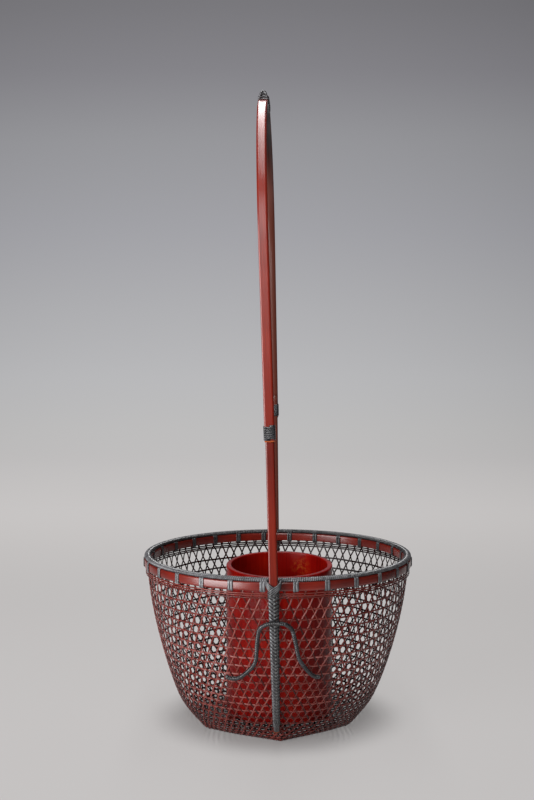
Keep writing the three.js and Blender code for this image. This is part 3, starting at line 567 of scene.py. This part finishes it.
# A lighter grey copy of the same rattan, a painted highlight, for the parts that catch the most light: the
# cord, ties, lashings, braids and knot.
lighter_rattan_copy = rattan.copy()
lighter_rattan_copy.name = "black_dyed_split_rattan_painted_lighter"
lighter_copy_ramp = lighter_rattan_copy.node_tree.nodes[ramp.name].color_ramp
for stop, shade in zip(lighter_copy_ramp.elements, ("#48474a", "#68676a", "#8c8b8f")):
    stop.color = linear(shade)
rim_winding.data.materials.append(lighter_rattan_copy)
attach(rim_winding, "basket")
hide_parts("rim_cord")


# Rim ties. 28 lashings of the same rattan, two flat strands side by side, each passed over both
# hoops under the cord and through the weave just below them; painted shade darkens the strand edges and
# the part inside the mouth.
TIES, TIE_STRANDS, TIE_PITCH, TIE_STEPS = 28, 2, 2.2 * MM, 36
STRAND = np.stack([np.cos(np.arange(12) * np.pi / 6), np.sin(np.arange(12) * np.pi / 6)], -1) / 2
# Painted shade at the edges of each strand, where it meets its neighbour.
STRAND_EDGE = np.abs(2 * STRAND[:, 0]) ** 6
# Outline of a tie, resampled at equal lengths and averaged once with its neighbours.
tie_ring = np.array([
    [108.5, 133.6], [115.4, 133.6], [115.4, 141.4], [108.5, 141.4], [108.5, 133.6]]) * MM
along = running_length(tie_ring)
at = np.linspace(0, along[-1], TIE_STEPS, endpoint=False)
tie_loop = np.stack([np.interp(at, along, tie_ring[:, k]) for k in (0, 1)], -1)
tie_loop = (np.roll(tie_loop, 1, 0) + 2 * tie_loop + np.roll(tie_loop, -1, 0)) / 4
tie_step = np.roll(tie_loop, -1, 0) - np.roll(tie_loop, 1, 0)
tie_normal = unit(np.stack([tie_step[:, 1], -tie_step[:, 0]], -1))
tie_angles = -np.pi / 2 + (np.arange(TIES) + 0.5) * 2 * np.pi / TIES + chance.normal(0, 0.002, TIES)
strand_side = (np.arange(TIE_STRANDS) - (TIE_STRANDS - 1) / 2) * TIE_PITCH
away = level_way(tie_angles)
aside = np.stack([-np.sin(tie_angles), np.cos(tie_angles), 0 * tie_angles], -1)
tie_path = (tie_loop[:, :1] * away[:, None, None] + tie_loop[:, 1:] * [0, 0, 1.0]
            + strand_side[:, None, None] * aside[:, None, None])
tie_out = np.broadcast_to(
    tie_normal[:, :1] * away[:, None, None] + tie_normal[:, 1:] * [0, 0, 1.0], tie_path.shape)
# Painted shade on the part of each tie inside the mouth.
tie_inside_shade = 0.75 * (tie_loop[:, :1] < 111 * MM)
tie_names = [f"rim_tie_{i + 1:02d}" for i in range(TIES)]
rim_ties = carried(
    "rim_tie_strands", tie_path.reshape(-1, TIE_STEPS, 3), tie_out.reshape(-1, TIE_STEPS, 3),
    STRAND * [TIE_PITCH, 0.8 * MM], True, np.maximum(STRAND_EDGE, tie_inside_shade))
rim_ties.data.materials.append(lighter_rattan_copy)
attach(rim_ties, "basket")
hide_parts(*tie_names)


# Handle. Split bamboo poles planed flat: a lower leg at each end, from the foot up past the rim,
# and two long strips bent over the top, where they are pared and lapped. Red lacquer, polished.
LEG_LEAN, ARCH_LEAN, HANDLE_OFFSET = math.radians(1.06), math.radians(1.44), -0.1 * MM
HANDLE_TURN, HANDLE_TWIST, ARCH_TOP, BENDS_AT = 0.74, 1.26, 525.4 * MM, 252 * MM
LEG_WIDTH, LEG_FOOT_WIDTH, LEG_THICK, LEG_FOOT_THICK = 7 * MM, 5 * MM, 3 * MM, 1.6 * MM
LEG_FOOT, LEG_EASE, LEG_TOP, LEG_INSIDE = 11.5 * MM, 27 * MM, 271.8 * MM, 115.4 * MM
ARCH_WIDTH, ARCH_THICK, ARCH_INSIDE, ARCH_CENTRE = 8 * MM, 3 * MM, 118.8 * MM, 406.6 * MM
ARCH_FOOT, LAP_FRONT, LAP_BACK, SCARF_TIP, LAP_EASE = 251 * MM, 8, 10, 2.8 * MM, 12
TIE_SLOT_FOOT, GAP, FACE_CROWN = 132.5 * MM, 0.4 * MM, 0.06 * MM
ARCH_RISE_STEPS, ARCH_ROUND_STEPS = 40, 90
INNER_FACE = np.isin(np.arange(13), (9, 10)).astype(float)


def handle_turn(z):
    """Turn of the handle's plane, in radians: it grows evenly from the rim to the top of the arch."""
    share = np.maximum(z - BODY_HEIGHT, 0) / (ARCH_TOP - BODY_HEIGHT)
    return np.radians(HANDLE_TURN + HANDLE_TWIST * share)


def handle_shift(y, z):
    """Sideways place of the handle's middle line: offset - z tan(lean) + y tan(turn), where the lean
    grows above the bindings."""
    above = np.maximum(z - BENDS_AT, 0)
    lean = (z - above) * math.tan(LEG_LEAN) + above * math.tan(ARCH_LEAN)
    return HANDLE_OFFSET - lean + y * np.tan(handle_turn(z))


def eased(value, low, high):
    """Smooth step 3t^2 - 2t^3, with t the share of the way from low to high."""
    t = np.clip((value - low) / (high - low), 0, 1)
    return t * t * (3 - 2 * t)


def leg_inside(z):
    """Distance of a leg's inner face from the axis: the wall's corner and a gap, then out to the hoop."""
    along = np.interp(z, wall_line[:, 1], wall_along)
    corner = wall_point(np.full(np.shape(z), np.pi / 2 + FOOT_TURN), along, 0)[..., 1]
    step = eased(z, HOOP_FOOT - LEG_EASE, TIE_SLOT_FOOT)
    below = corner + GAP + step * (LEG_INSIDE - MOUTH_RADIUS - GAP)
    return np.where(z >= HOOP_FOOT, LEG_INSIDE, below)


def leg_outward(z):
    """Outward direction of the leg in its own plane, as (out, up)."""
    step = 0.5 * MM
    climb = leg_inside(z + step) - leg_inside(z - step)
    return unit(np.stack([np.full(np.shape(z), 2 * step), -climb], -1))


def leg_share(z):
    """Share of the way from the leg's foot to the hoops."""
    return np.clip((z - LEG_FOOT) / (HOOP_FOOT - LEG_FOOT), 0, 1)


def leg_thick(z):
    """Thickness of the leg, pared towards its foot."""
    return LEG_FOOT_THICK + (LEG_THICK - LEG_FOOT_THICK) * leg_share(z)


def in_handle(side, out, up, across=0.0, seat=None):
    """Point of the handle at a distance out from the axis and a height, on the front (-1) or back (1),
    and across from its middle line, which is taken at the seat's distance where one is given."""
    y = side * out
    middle = handle_shift(y if seat is None else side * seat, up)
    return np.stack(np.broadcast_arrays(middle + across, y, up), -1)


def handle_strip(name, side, inner, outward, width, thickness):
    """Strip whose inner face's middle line is inner, as (out, up): the path runs half a thickness out."""
    middle = inner + outward * thickness[:, None] / 2
    path = in_handle(side, middle[:, 0], middle[:, 1])
    path[:, 0] = handle_shift(side * inner[:, 0], inner[:, 1])
    turn = handle_turn(inner[:, 1])
    facing = np.stack([side * outward[:, 0] * np.sin(turn), side * outward[:, 0] * np.cos(turn),
                       outward[:, 1]], -1)
    sections = np.stack([
        crowned_strip(w, t, min(0.7 * MM, 0.4 * t), FACE_CROWN) for w, t in zip(width, thickness)])
    return carried(name, path, facing, sections, tone=INNER_FACE)


leg_z = np.concatenate([np.linspace(LEG_FOOT, HOOP_FOOT, 60), np.linspace(HOOP_FOOT, LEG_TOP, 24)[1:]])
leg_line = np.stack([leg_inside(leg_z), leg_z], -1)
leg_width = LEG_FOOT_WIDTH + (LEG_WIDTH - LEG_FOOT_WIDTH) * leg_share(leg_z)
handle_pieces = []
for side, end in ((-1, "front"), (1, "back")):
    leg = handle_strip(f"leg_strip_{end}", side, leg_line, leg_outward(leg_z), leg_width, leg_thick(leg_z))
    reach = LAP_BACK if side < 0 else LAP_FRONT
    turn = np.concatenate([np.full(ARCH_RISE_STEPS, side * 90.0),
                           np.linspace(side * 90, -side * reach, ARCH_ROUND_STEPS)])
    up = np.concatenate([np.linspace(ARCH_FOOT, ARCH_CENTRE, ARCH_RISE_STEPS, endpoint=False),
                         np.full(ARCH_ROUND_STEPS, ARCH_CENTRE)])
    lap = np.clip((turn + LAP_FRONT) / (LAP_FRONT + LAP_BACK), 0, 1)
    front_scarf = ARCH_THICK + (SCARF_TIP - ARCH_THICK) * lap
    back_scarf = SCARF_TIP + (ARCH_THICK - SCARF_TIP) * lap
    lift = (1 - eased(turn, LAP_BACK + 1, LAP_BACK + 1 + LAP_EASE)) * (front_scarf + GAP) * (side > 0)
    away = np.stack([side * np.sin(np.radians(turn)), np.cos(np.radians(turn))], -1)
    arch_line = away * (ARCH_INSIDE + lift)[:, None] + np.stack([0 * up, up], -1)
    arch = handle_strip(f"arch_strip_{end}", side, arch_line, away, np.full(len(up), ARCH_WIDTH),
                        front_scarf if side < 0 else back_scarf)
    handle_pieces += [(leg, f"handle_leg_{end}"), (arch, f"handle_arch_{end}")]

# Polished red lacquer on planed bamboo: warm brick red with long straight fibres of darker and
# lighter red, a hard gloss, and bare tan bamboo only at the cut ends. Above the bindings it is
# lighter, a painted light from above, and the inner face is brown, going nearly black towards the top of
# the arch.
pole_finish, tree, fibre, cloud, bump, here = fibrous_finish(
    "polished_red_lacquer_on_planed_bamboo", grain=(60 * MM, 0.6 * MM), detail=4.0, roughness=0.6,
    cloud=45 * MM, cloud_detail=2.0, relief=(0.06, 0.05 * MM))
mixed = add_node(tree, "ShaderNodeMix", {0: 0.4, 2: fibre, 3: cloud})
colour = add_node(tree, "ShaderNodeValToRGB", {"Fac": mixed}, stops=[
    (0.3, "#5c150c"), (0.5, "#7e2012"), (0.7, "#962e1c")])
length_map = add_node(tree, "ShaderNodeUVMap", uv_map="length")
length_along = add_node(tree, "ShaderNodeSeparateXYZ", {0: length_map})
bare = add_node(tree, "ShaderNodeMapRange", {
    "Value": length_along.outputs["X"], "From Min": 1.1 * MM, "From Max": 0.9 * MM})
inner = add_node(tree, "ShaderNodeAttribute", attribute_name="tone")
height = add_node(tree, "ShaderNodeSeparateXYZ", {0: here.outputs["Object"]})
# Painted light: the colour is lighter above the bindings, as the light falls from above.
painted_light_above = add_node(tree, "ShaderNodeMapRange", {
    "Value": height.outputs["Z"], "From Min": 240 * MM, "From Max": 290 * MM,
    "To Min": 0.85, "To Max": 1.2})
colour = add_node(tree, "ShaderNodeHueSaturation", {"Color": colour, "Value": painted_light_above})
# The inner face goes nearly black towards the top of the arch.
inner_top_dark = add_node(tree, "ShaderNodeMapRange", {
    "Value": height.outputs["Z"], "From Min": 465 * MM, "From Max": 505 * MM})
inside_colour = add_node(tree, "ShaderNodeMix", {
    0: inner_top_dark, 6: linear("#643328"), 7: linear("#1c0605")}, data_type="RGBA")
colour = add_node(tree, "ShaderNodeMix", {
    0: inner.outputs["Fac"], 6: colour, 7: inside_colour.outputs[2]}, data_type="RGBA")
colour = add_node(tree, "ShaderNodeMix", {
    0: bare, 6: colour.outputs[2], 7: linear("#c05a26")}, data_type="RGBA")
face = add_node(tree, "ShaderNodeBsdfPrincipled", {
    "Base Color": colour.outputs[2], "Roughness": 0.3, "Normal": bump})
add_node(tree, "ShaderNodeOutputMaterial", {"Surface": face})
for piece, node in handle_pieces:
    piece.data.materials.append(pole_finish)
    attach(piece, "basket")
    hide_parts(node)


# Leg bindings. Eight close turns of black rattan round the overlap of each leg and arch strip.
BINDING_FOOT, BINDING_LENGTH, BINDING_TURNS, STRAND_SEAT = 252.6 * MM, 10.8 * MM, 8, 0.35 * MM


def winding_path(turns, half_width, half_depth, steps, squareness=0.32):
    """Helix of rounded oblong loops: (sign(c)|c|^k a, sign(s)|s|^k b) for c, s = cos, sin of the angle.
    Returns the offsets across and out, their outward directions, and the share of the length."""
    angle = np.linspace(0, 2 * np.pi * turns, turns * steps + 1) + np.pi / 2
    c, s = np.cos(angle), np.sin(angle)
    across = half_width * np.sign(c) * np.abs(c) ** squareness
    out = half_depth * np.sign(s) * np.abs(s) ** squareness
    facing = unit(np.stack([c * np.abs(c) ** (1 - squareness) / half_width + 1e-9,
                            s * np.abs(s) ** (1 - squareness) / half_depth + 1e-9], -1))
    return across, out, facing, np.linspace(0, 1, len(angle))


bindings = []
for side, end in ((-1, "front"), (1, "back")):
    depth = LEG_THICK + GAP + ARCH_THICK
    across, out, facing, share = winding_path(
        BINDING_TURNS, ARCH_WIDTH / 2 + STRAND_SEAT, depth / 2 + STRAND_SEAT, 28)
    up = BINDING_FOOT + share * BINDING_LENGTH
    seat = LEG_INSIDE + depth / 2
    path = in_handle(side, seat + out, up, across, seat)
    outward = np.stack([facing[:, 0], side * facing[:, 1], 0 * share], -1)
    # Painted shade at the strand edges.
    binding = carried(f"leg_binding_strand_{end}", path, outward, STRAND * [1.38 * MM, 0.7 * MM],
                      tone=STRAND_EDGE)
    bindings.append((binding, f"leg_binding_{end}"))


# Apex binding. The same rattan, wound closely round the lap at the top of the arch, from its
# near end down the far side, and crossed over itself at the near end as a knot.
APEX_TURNS, APEX_START, APEX_SWEEP = 24, -6.0, 16.6
depth = ARCH_THICK + SCARF_TIP + GAP
apex_radius = ARCH_INSIDE + depth / 2
across, out, facing, share = winding_path(
    APEX_TURNS, ARCH_WIDTH / 2 + STRAND_SEAT, depth / 2 + STRAND_SEAT, 20)


def on_arch(turn, distance, across):
    """Point at a turn from the top towards the back, a distance from the arch's centre, and across."""
    y, z = distance * np.sin(turn), ARCH_CENTRE + distance * np.cos(turn)
    middle = handle_shift(apex_radius * np.sin(turn), ARCH_CENTRE + apex_radius * np.cos(turn))
    return np.stack(np.broadcast_arrays(middle + across, y, z), -1)


turn = np.radians(APEX_START + share * APEX_SWEEP)
outward = np.stack([facing[:, 0], facing[:, 1] * np.sin(turn), facing[:, 1] * np.cos(turn)], -1)
# Painted shade at the strand edges.
apex_winding = carried("apex_winding_strand", on_arch(turn, apex_radius + out, across), outward,
                       STRAND * [1.42 * MM, 0.7 * MM], tone=STRAND_EDGE)
bindings.append((apex_winding, "apex_binding"))

# Knot: strands piled on the front strip where the binding ends, each laid aslant over the last, and
# shorter towards the top.
KNOT_LAYERS, KNOT_RISE, KNOT_FOOT, KNOT_MIDDLE = 6, 1.15 * MM, 4.1 * MM, -9.7
knot_share = np.linspace(-1, 1, 25)
seat = ARCH_INSIDE + ARCH_THICK
knot_paths, knot_outs = [], []
for layer in range(KNOT_LAYERS):
    slant = 1.5 if layer % 2 else -1.5
    across = (KNOT_FOOT - 0.33 * MM * layer) * knot_share
    lift = (layer + 0.9) * KNOT_RISE - (0.8 + 0.3 * layer) * MM * knot_share ** 4
    turn = np.radians(KNOT_MIDDLE + 0.12 * layer + slant * knot_share * 0.6)
    knot_paths.append(on_arch(turn, seat + lift, across))
    knot_outs.append(np.stack([0.8 * knot_share ** 3, np.sin(turn) - 0.5, np.cos(turn)], -1))
# Painted shade at the strand edges.
knot = carried("apex_knot_strands", np.stack(knot_paths), unit(np.stack(knot_outs)),
               STRAND * [1.8 * MM, 1.5 * MM], tone=STRAND_EDGE)
bindings.append((knot, "apex_knot"))


# Braids. Rattan stitched round each lower leg from the rim to the foot; the stitches from the
# left and the right lean together like a row of V's, closer towards the foot, where the last
# strands are turned down and tucked in. Painted shade darkens the stitches on the right, and those on the
# left towards the foot.
BRAID_FOOT, BRAID_TOP, STITCHES, STITCH_RISE = 17 * MM, 133.2 * MM, 39, 3.7 * MM
BRAID_TOP_WIDTH, BRAID_FOOT_WIDTH = 7.5 * MM, 4.5 * MM
# Painted shade at the edges of the braid's strands, in the gaps between them.
LOBE_EDGE = np.abs(2 * STRAND[:, 0]) ** 3
stitch_t = np.linspace(0, 1, 13)
stitch_knots = np.linspace(0, 1, 7)
stitch_across = np.interp(stitch_t, stitch_knots, [-0.3, 0.05, 0.42, 0.76, 0.97, 1.02, 0.98])
stitch_out = np.interp(stitch_t, stitch_knots, np.array([0.1, 0.95, 1.15, 0.75, 0, -1.0, -2.0]) * MM)


def braid_inside(z):
    """Distance from the axis of the braid's seat: the leg's outer face and a gap."""
    return leg_inside(z) + leg_thick(z) / leg_outward(z)[..., 0] + GAP


for side, end in ((-1, "front"), (1, "back")):
    lobes, lobe_outs, lobe_tones = [], [], []
    for hand in (-1, 1):
        share = (np.arange(STITCHES) + (0.5 if hand > 0 else 0)) / STITCHES
        low = BRAID_FOOT + (BRAID_TOP - BRAID_FOOT) * (share + 0.1 * share ** 2) / 1.1
        low = (low + chance.normal(0, 0.07 * MM, STITCHES))[:, None]
        z = np.minimum(low + STITCH_RISE * (np.minimum(stitch_t / 0.75, 1.1) - 0.4), BRAID_TOP)
        half = (BRAID_FOOT_WIDTH + (BRAID_TOP_WIDTH - BRAID_FOOT_WIDTH) * leg_share(z)) / 2
        seat = braid_inside(z)
        place = in_handle(side, seat + stitch_out, z, hand * stitch_across * half, seat)
        lobes.append(place)
        lobe_outs.append(np.broadcast_to(unit(np.stack([
            hand * (0.45 * np.tanh(5 * stitch_across) + 0.8 * stitch_across ** 8),
            side * (1 - 0.6 * stitch_across ** 8), 0.1 + 0 * stitch_t], -1)), place.shape))
        # Painted shade: strong on the right-hand stitches, and on the left-hand ones growing towards the
        # foot.
        shade = (0.2 if hand < 0 else 0.8) + 0.3 * (1 - share[:, None, None]) * (hand < 0)
        lobe_tones.append(np.broadcast_to(shade + (1 - shade) * LOBE_EDGE, (*z.shape, len(STRAND))))
    tucked_share = np.linspace(0, 1, 13)
    for across in (-0.55, 0.0, 0.55):
        z = (20.5 - 8.2 * tucked_share) * MM
        out = (1.0 - 1.4 * tucked_share ** 4) * MM
        seat = braid_inside(z)
        place = in_handle(side, seat + out, z, across * BRAID_FOOT_WIDTH / 2, seat)
        lobes.append(place[None])
        lobe_outs.append(np.broadcast_to([across, side * 1.0, -0.2], (1, 13, 3)))
        lobe_tones.append(np.broadcast_to(0.4 + 0.6 * LOBE_EDGE, (1, 13, 12)))
    braid = carried(f"braid_stitches_{end}", np.concatenate(lobes), np.concatenate(lobe_outs),
                    STRAND * [2.35 * MM, 1.25 * MM], tone=np.concatenate(lobe_tones))
    bindings.append((braid, f"braid_{end}"))


# Leg lashings. Two sets of four strands that come out from under the rim cord and cross over the
# leg, down to the head of the braid.
def smooth_path(points, count):
    """Catmull-Rom curve through points: each span is the cubic with the neighbours' half chords."""
    points = np.asarray(points, float)
    padded = np.concatenate([2 * points[:1] - points[1:2], points, 2 * points[-1:] - points[-2:-1]])
    spans = len(points) - 1
    at = np.linspace(0, spans, count)
    span = np.minimum(at.astype(int), spans - 1)
    t = (at - span)[:, None]
    p0, p1, p2, p3 = (padded[span + k] for k in range(4))
    return 0.5 * (2 * p1 + (p2 - p0) * t + (2 * p0 - 5 * p1 + 4 * p2 - p3) * t ** 2
                  + (3 * p1 - p0 - 3 * p2 + p3) * t ** 3)


for side, end in ((-1, "front"), (1, "back")):
    paths, outs = [], []
    for hand, lift in ((-1, 0.0), (1, 0.9)):
        for strand in range(4):
            drop = 1.7 * strand
            route = np.array([
                [6.0, 112.0, 143.0 - 0.3 * strand], [5.9, 115.0, 142.6 - 0.5 * drop],
                [5.1, 117.6 + lift, 141.4 - 0.7 * drop], [3.3, 119.0 + lift, 139.8 - 0.85 * drop],
                [0, 119.4 + lift, 137.5 - drop], [-3.0, 118.8 + lift, 135.2 - drop],
                [-4.2, 117.0, 134.0 - drop], [-4.4, 115.0, 133.4 - drop],
            ]) * MM
            curve = smooth_path(route, 33)
            place = in_handle(side, curve[:, 1], curve[:, 2])
            place[:, 0] = handle_shift(side * LEG_INSIDE, 139 * MM) + hand * curve[:, 0]
            inner = np.array([0, side * 112.5 * MM, 138 * MM])
            away = place - inner
            away[:, 0] = hand * curve[:, 0] * 0.6
            paths.append(place)
            outs.append(unit(away))
    # Painted shade on the strands, darkest at their edges.
    lashing = carried(f"lashing_strands_{end}", np.stack(paths), np.stack(outs),
                      STRAND * [1.3 * MM, 1.1 * MM], tone=0.3 + 0.7 * LOBE_EDGE)
    bindings.append((lashing, f"leg_lashing_{end}"))


# Ornaments. A stiff wire wound with black rattan, bent in a looped arch over the braid with its
# two ends curling outwards, and stitched to the weave.
ORNAMENT_THICK, ORNAMENT_PITCH = 3.6 * MM, 1.6 * MM
ornament_route = np.array([
    [-42.5, 62], [-38, 60], [-30, 61.8], [-20.2, 71.5], [-17.2, 80], [-16.4, 93], [-14.2, 104.8],
    [-8, 110], [2.6, 110.4], [6.8, 107.8], [10.4, 102.5], [13.4, 90.9], [16.3, 78], [23.6, 67],
    [28.4, 62.8], [33.5, 61.4],
]) * MM
flat = smooth_path(ornament_route, 400)
pace = running_length(flat)
even = np.linspace(0, pace[-1], int(8 * pace[-1] / ORNAMENT_PITCH))
flat = np.stack([np.interp(even, pace, flat[:, k]) for k in (0, 1)], -1)
along = np.interp(flat[:, 1], wall_line[:, 1], wall_along)
radius = np.interp(along, wall_along, wall_line[:, 0])
crossing = 110.4 * MM
corner = leg_inside(np.array(crossing)) - GAP
for side, end in ((-1, "front"), (1, "back")):
    bridge = float(braid_inside(np.array(crossing))) + 1.8 * MM - float(corner)
    middle = -side * handle_shift(side * float(corner), crossing)
    reach = BRAID_TOP_WIDTH / 2 + ORNAMENT_THICK
    near = 1 - eased(np.abs(flat[:, 0] - middle), reach, 2 * reach)
    rest = GAP + ORNAMENT_THICK / 2
    angle = -np.pi / 2 + flat[:, 0] / radius
    place = wall_point(angle, along, -rest - near * bridge)
    facing = wall_outward(angle, along)
    if side > 0:
        place, facing = place * [-1, -1, 1], facing * [-1, -1, 1]
    section, groove = wound_section(place, ORNAMENT_THICK, ORNAMENT_PITCH, False)
    end_gap = np.minimum(even, even[-1] - even) / (ORNAMENT_THICK / 2)
    section *= np.sqrt(1 - (1 - np.clip(end_gap, 0.02, 1)) ** 2)[:, None, None]
    # Painted shade in the grooves of the winding.
    wire = carried(f"ornament_wound_wire_{end}", place, facing, section, tone=groove)
    bindings.append((wire, f"ornament_{end}"))

# The knot, braids and lashings take the lighter copy of the rattan, a painted highlight.
for piece, node in bindings:
    wear_and_lit_copy = node.startswith(("apex_knot", "braid", "leg_lashing"))
    piece.data.materials.append(lighter_rattan_copy if wear_and_lit_copy else rattan)
    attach(piece, "basket")
    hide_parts(node)


# Floor splints. Three flat splints laid from corner to corner over the woven floor, one over
# another, which keep it flat under the weight of the water.
SPLINT_WIDTH, SPLINT_THICK, SPLINT_LENGTH = 9 * MM, 0.9 * MM, 112 * MM
splint_t = np.linspace(-0.5, 0.5, 30)
for layer in range(3):
    lean = math.radians(90 + 60 * layer) + FOOT_TURN
    low = WEAVE_THICKNESS + GAP + layer * (SPLINT_THICK + GAP)
    path = np.stack([
        splint_t * SPLINT_LENGTH * math.cos(lean) + FOOT_SHIFT, splint_t * SPLINT_LENGTH * math.sin(lean),
        np.full(30, low + SPLINT_THICK / 2)], -1)
    splint = carried(f"floor_splint_strip_{layer + 1}", path, np.broadcast_to([0.0, 0, 1], path.shape),
                     crowned_strip(SPLINT_WIDTH, SPLINT_THICK, 0.25 * MM, 0.1 * MM))
    splint.data.materials.append(hoop_finish)
    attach(splint, "basket")
    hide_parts(f"floor_splint_{layer + 1}")


# Water tube. One length of bamboo culm with its own node as the floor, lacquered red inside and
# out so that it holds water. It stands loose on the splints and lifts out.
TUBE_RADIUS, TUBE_WALL, TUBE_TOP, TUBE_FLOOR = 46 * MM, 4.4 * MM, 133 * MM, 7 * MM
TUBE_SHIFT, TUBE_SLANT, SLANT_FROM = 1.5 * MM, math.tan(math.radians(3.4)), 60 * MM
tube_low = WEAVE_THICKNESS + GAP + 3 * (SPLINT_THICK + GAP)


def turned(name, profile, stations):
    """Solid of revolution: the profile's radius and height carried round the axis; its first and last
    points lie on the axis and are single points. The top is cut aslant: above a height, z grows by
    y tan(slant), eased in. The UV map is (angle x radius, length of profile)."""
    angle = np.linspace(0, 2 * np.pi, stations, endpoint=False)
    ring = profile[1:-1]
    points = np.stack(np.broadcast_arrays(
        ring[:, :1] * np.cos(angle), ring[:, :1] * np.sin(angle), ring[:, 1:]), -1).reshape(-1, 3)
    points[:, 2] += eased(points[:, 2], SLANT_FROM, TUBE_TOP - 2 * MM) * points[:, 1] * TUBE_SLANT
    points[:, 0] += TUBE_SHIFT
    poles = [[TUBE_SHIFT, 0, profile[0, 1]], [TUBE_SHIFT, 0, profile[-1, 1]]]
    row, station = np.ogrid[:len(ring) - 1, :stations]
    after = (station + 1) % stations
    quads = np.stack(np.broadcast_arrays(
        row * stations + station, row * stations + after,
        (row + 1) * stations + after, (row + 1) * stations + station), -1).reshape(-1, 4)
    first, last = len(points), len(points) + 1
    s, t = np.arange(stations), (np.arange(stations) + 1) % stations
    under = np.stack([np.full(stations, first), t, s], -1)
    top = (len(ring) - 1) * stations
    over = np.stack([np.full(stations, last), top + s, top + t], -1)
    length = running_length(profile)
    a0, a1 = angle * TUBE_RADIUS, (angle + angle[1]) * TUBE_RADIUS
    l0, l1 = length[1:-2, None], length[2:-1, None]
    uv = np.stack([np.stack(np.broadcast_arrays(a, l), -1) for a, l in (
        (a0, l0), (a1, l0), (a1, l1), (a0, l1))], -2).reshape(-1, 2)
    cap_uv = [np.stack([np.stack([a, np.full(stations, v)], -1) for a, v in corners], 1).reshape(-1, 2)
              for corners in (((a0, length[0]), (a1, length[1]), (a0, length[1])),
                              ((a0, length[-1]), (a0, length[-2]), (a1, length[-2])))]
    return put_mesh(name, np.concatenate([points, poles]),
                    quads.tolist() + under.tolist() + over.tolist(), np.concatenate([uv, *cap_uv]))


def quarter(centre, radius, start, stop, count=6):
    """Arc of a small rounding, between two angles in degrees."""
    angle = np.radians(np.linspace(start, stop, count))
    return np.stack([centre[0] + radius * np.cos(angle), centre[1] + radius * np.sin(angle)], -1)


ease = 1.0 * MM
inside = TUBE_RADIUS - TUBE_WALL
outer_wall = np.linspace(tube_low + ease, TUBE_TOP - ease, 24)[1:-1]
profile = np.concatenate([
    [[0, tube_low]], [[0.03, tube_low]],
    quarter((TUBE_RADIUS - ease, tube_low + ease), ease, -90, 0),
    np.stack([np.full(22, TUBE_RADIUS), outer_wall], -1),
    quarter((TUBE_RADIUS - ease, TUBE_TOP - ease), ease, 0, 90),
    quarter((inside + ease, TUBE_TOP - ease), ease, 90, 180),
    [[inside, TUBE_TOP - 20 * MM], [inside, TUBE_TOP - 60 * MM]],
    quarter((inside - 4 * MM, tube_low + TUBE_FLOOR + 4 * MM), 4 * MM, 0, -90),
    [[0.02, tube_low + TUBE_FLOOR]], [[0, tube_low + TUBE_FLOOR]],
])
tube = turned("bamboo_water_tube", profile, 128)

# Red lacquer, rubbed through to the dark undercoat: many thin coats on bamboo, polished, with
# long soft streaks along the culm and a deep wet gloss.
lacquer, tree, streak, cloud, bump, here = fibrous_finish(
    "rubbed_red_lacquer_on_bamboo_culm", grain=(3 * MM, 70 * MM), detail=5.0, roughness=0.6,
    cloud=35 * MM, cloud_detail=3.0, relief=(0.1, 0.1 * MM))
mixed = add_node(tree, "ShaderNodeMix", {0: 0.6, 2: streak, 3: cloud})
colour = add_node(tree, "ShaderNodeValToRGB", {"Fac": mixed}, stops=[
    (0.3, "#5e0402"), (0.5, "#8e0904"), (0.7, "#ae1c0a")])
# One patch inside, low on the right of the far wall, is rubbed through to mottled orange.
from_patch = add_node(tree, "ShaderNodeVectorMath", {
    0: here.outputs["Object"], 1: (21 * MM, 36 * MM, 123 * MM)}, operation="DISTANCE")
near_patch = add_node(tree, "ShaderNodeMapRange", {
    "Value": from_patch.outputs["Value"], "From Min": 11 * MM, "From Max": 2 * MM})
mottle = add_node(tree, "ShaderNodeTexNoise", {
    "Vector": here.outputs["Object"], "Scale": 1 / (3.5 * MM), "Detail": 4.0, "Roughness": 0.7})
bare = add_node(tree, "ShaderNodeMapRange", {
    "Value": mottle, "From Min": 0.48, "From Max": 0.62, "To Max": near_patch})
colour = add_node(tree, "ShaderNodeMix", {0: bare, 6: colour, 7: linear("#b04a1c")}, data_type="RGBA")
face = add_node(tree, "ShaderNodeBsdfPrincipled", {
    "Base Color": colour.outputs[2], "Roughness": 0.22, "Specular IOR Level": 0.2, "Normal": bump})
add_node(tree, "ShaderNodeOutputMaterial", {"Surface": face})
tube.data.materials.append(lacquer)
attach(tube, "tube")
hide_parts("water_tube")
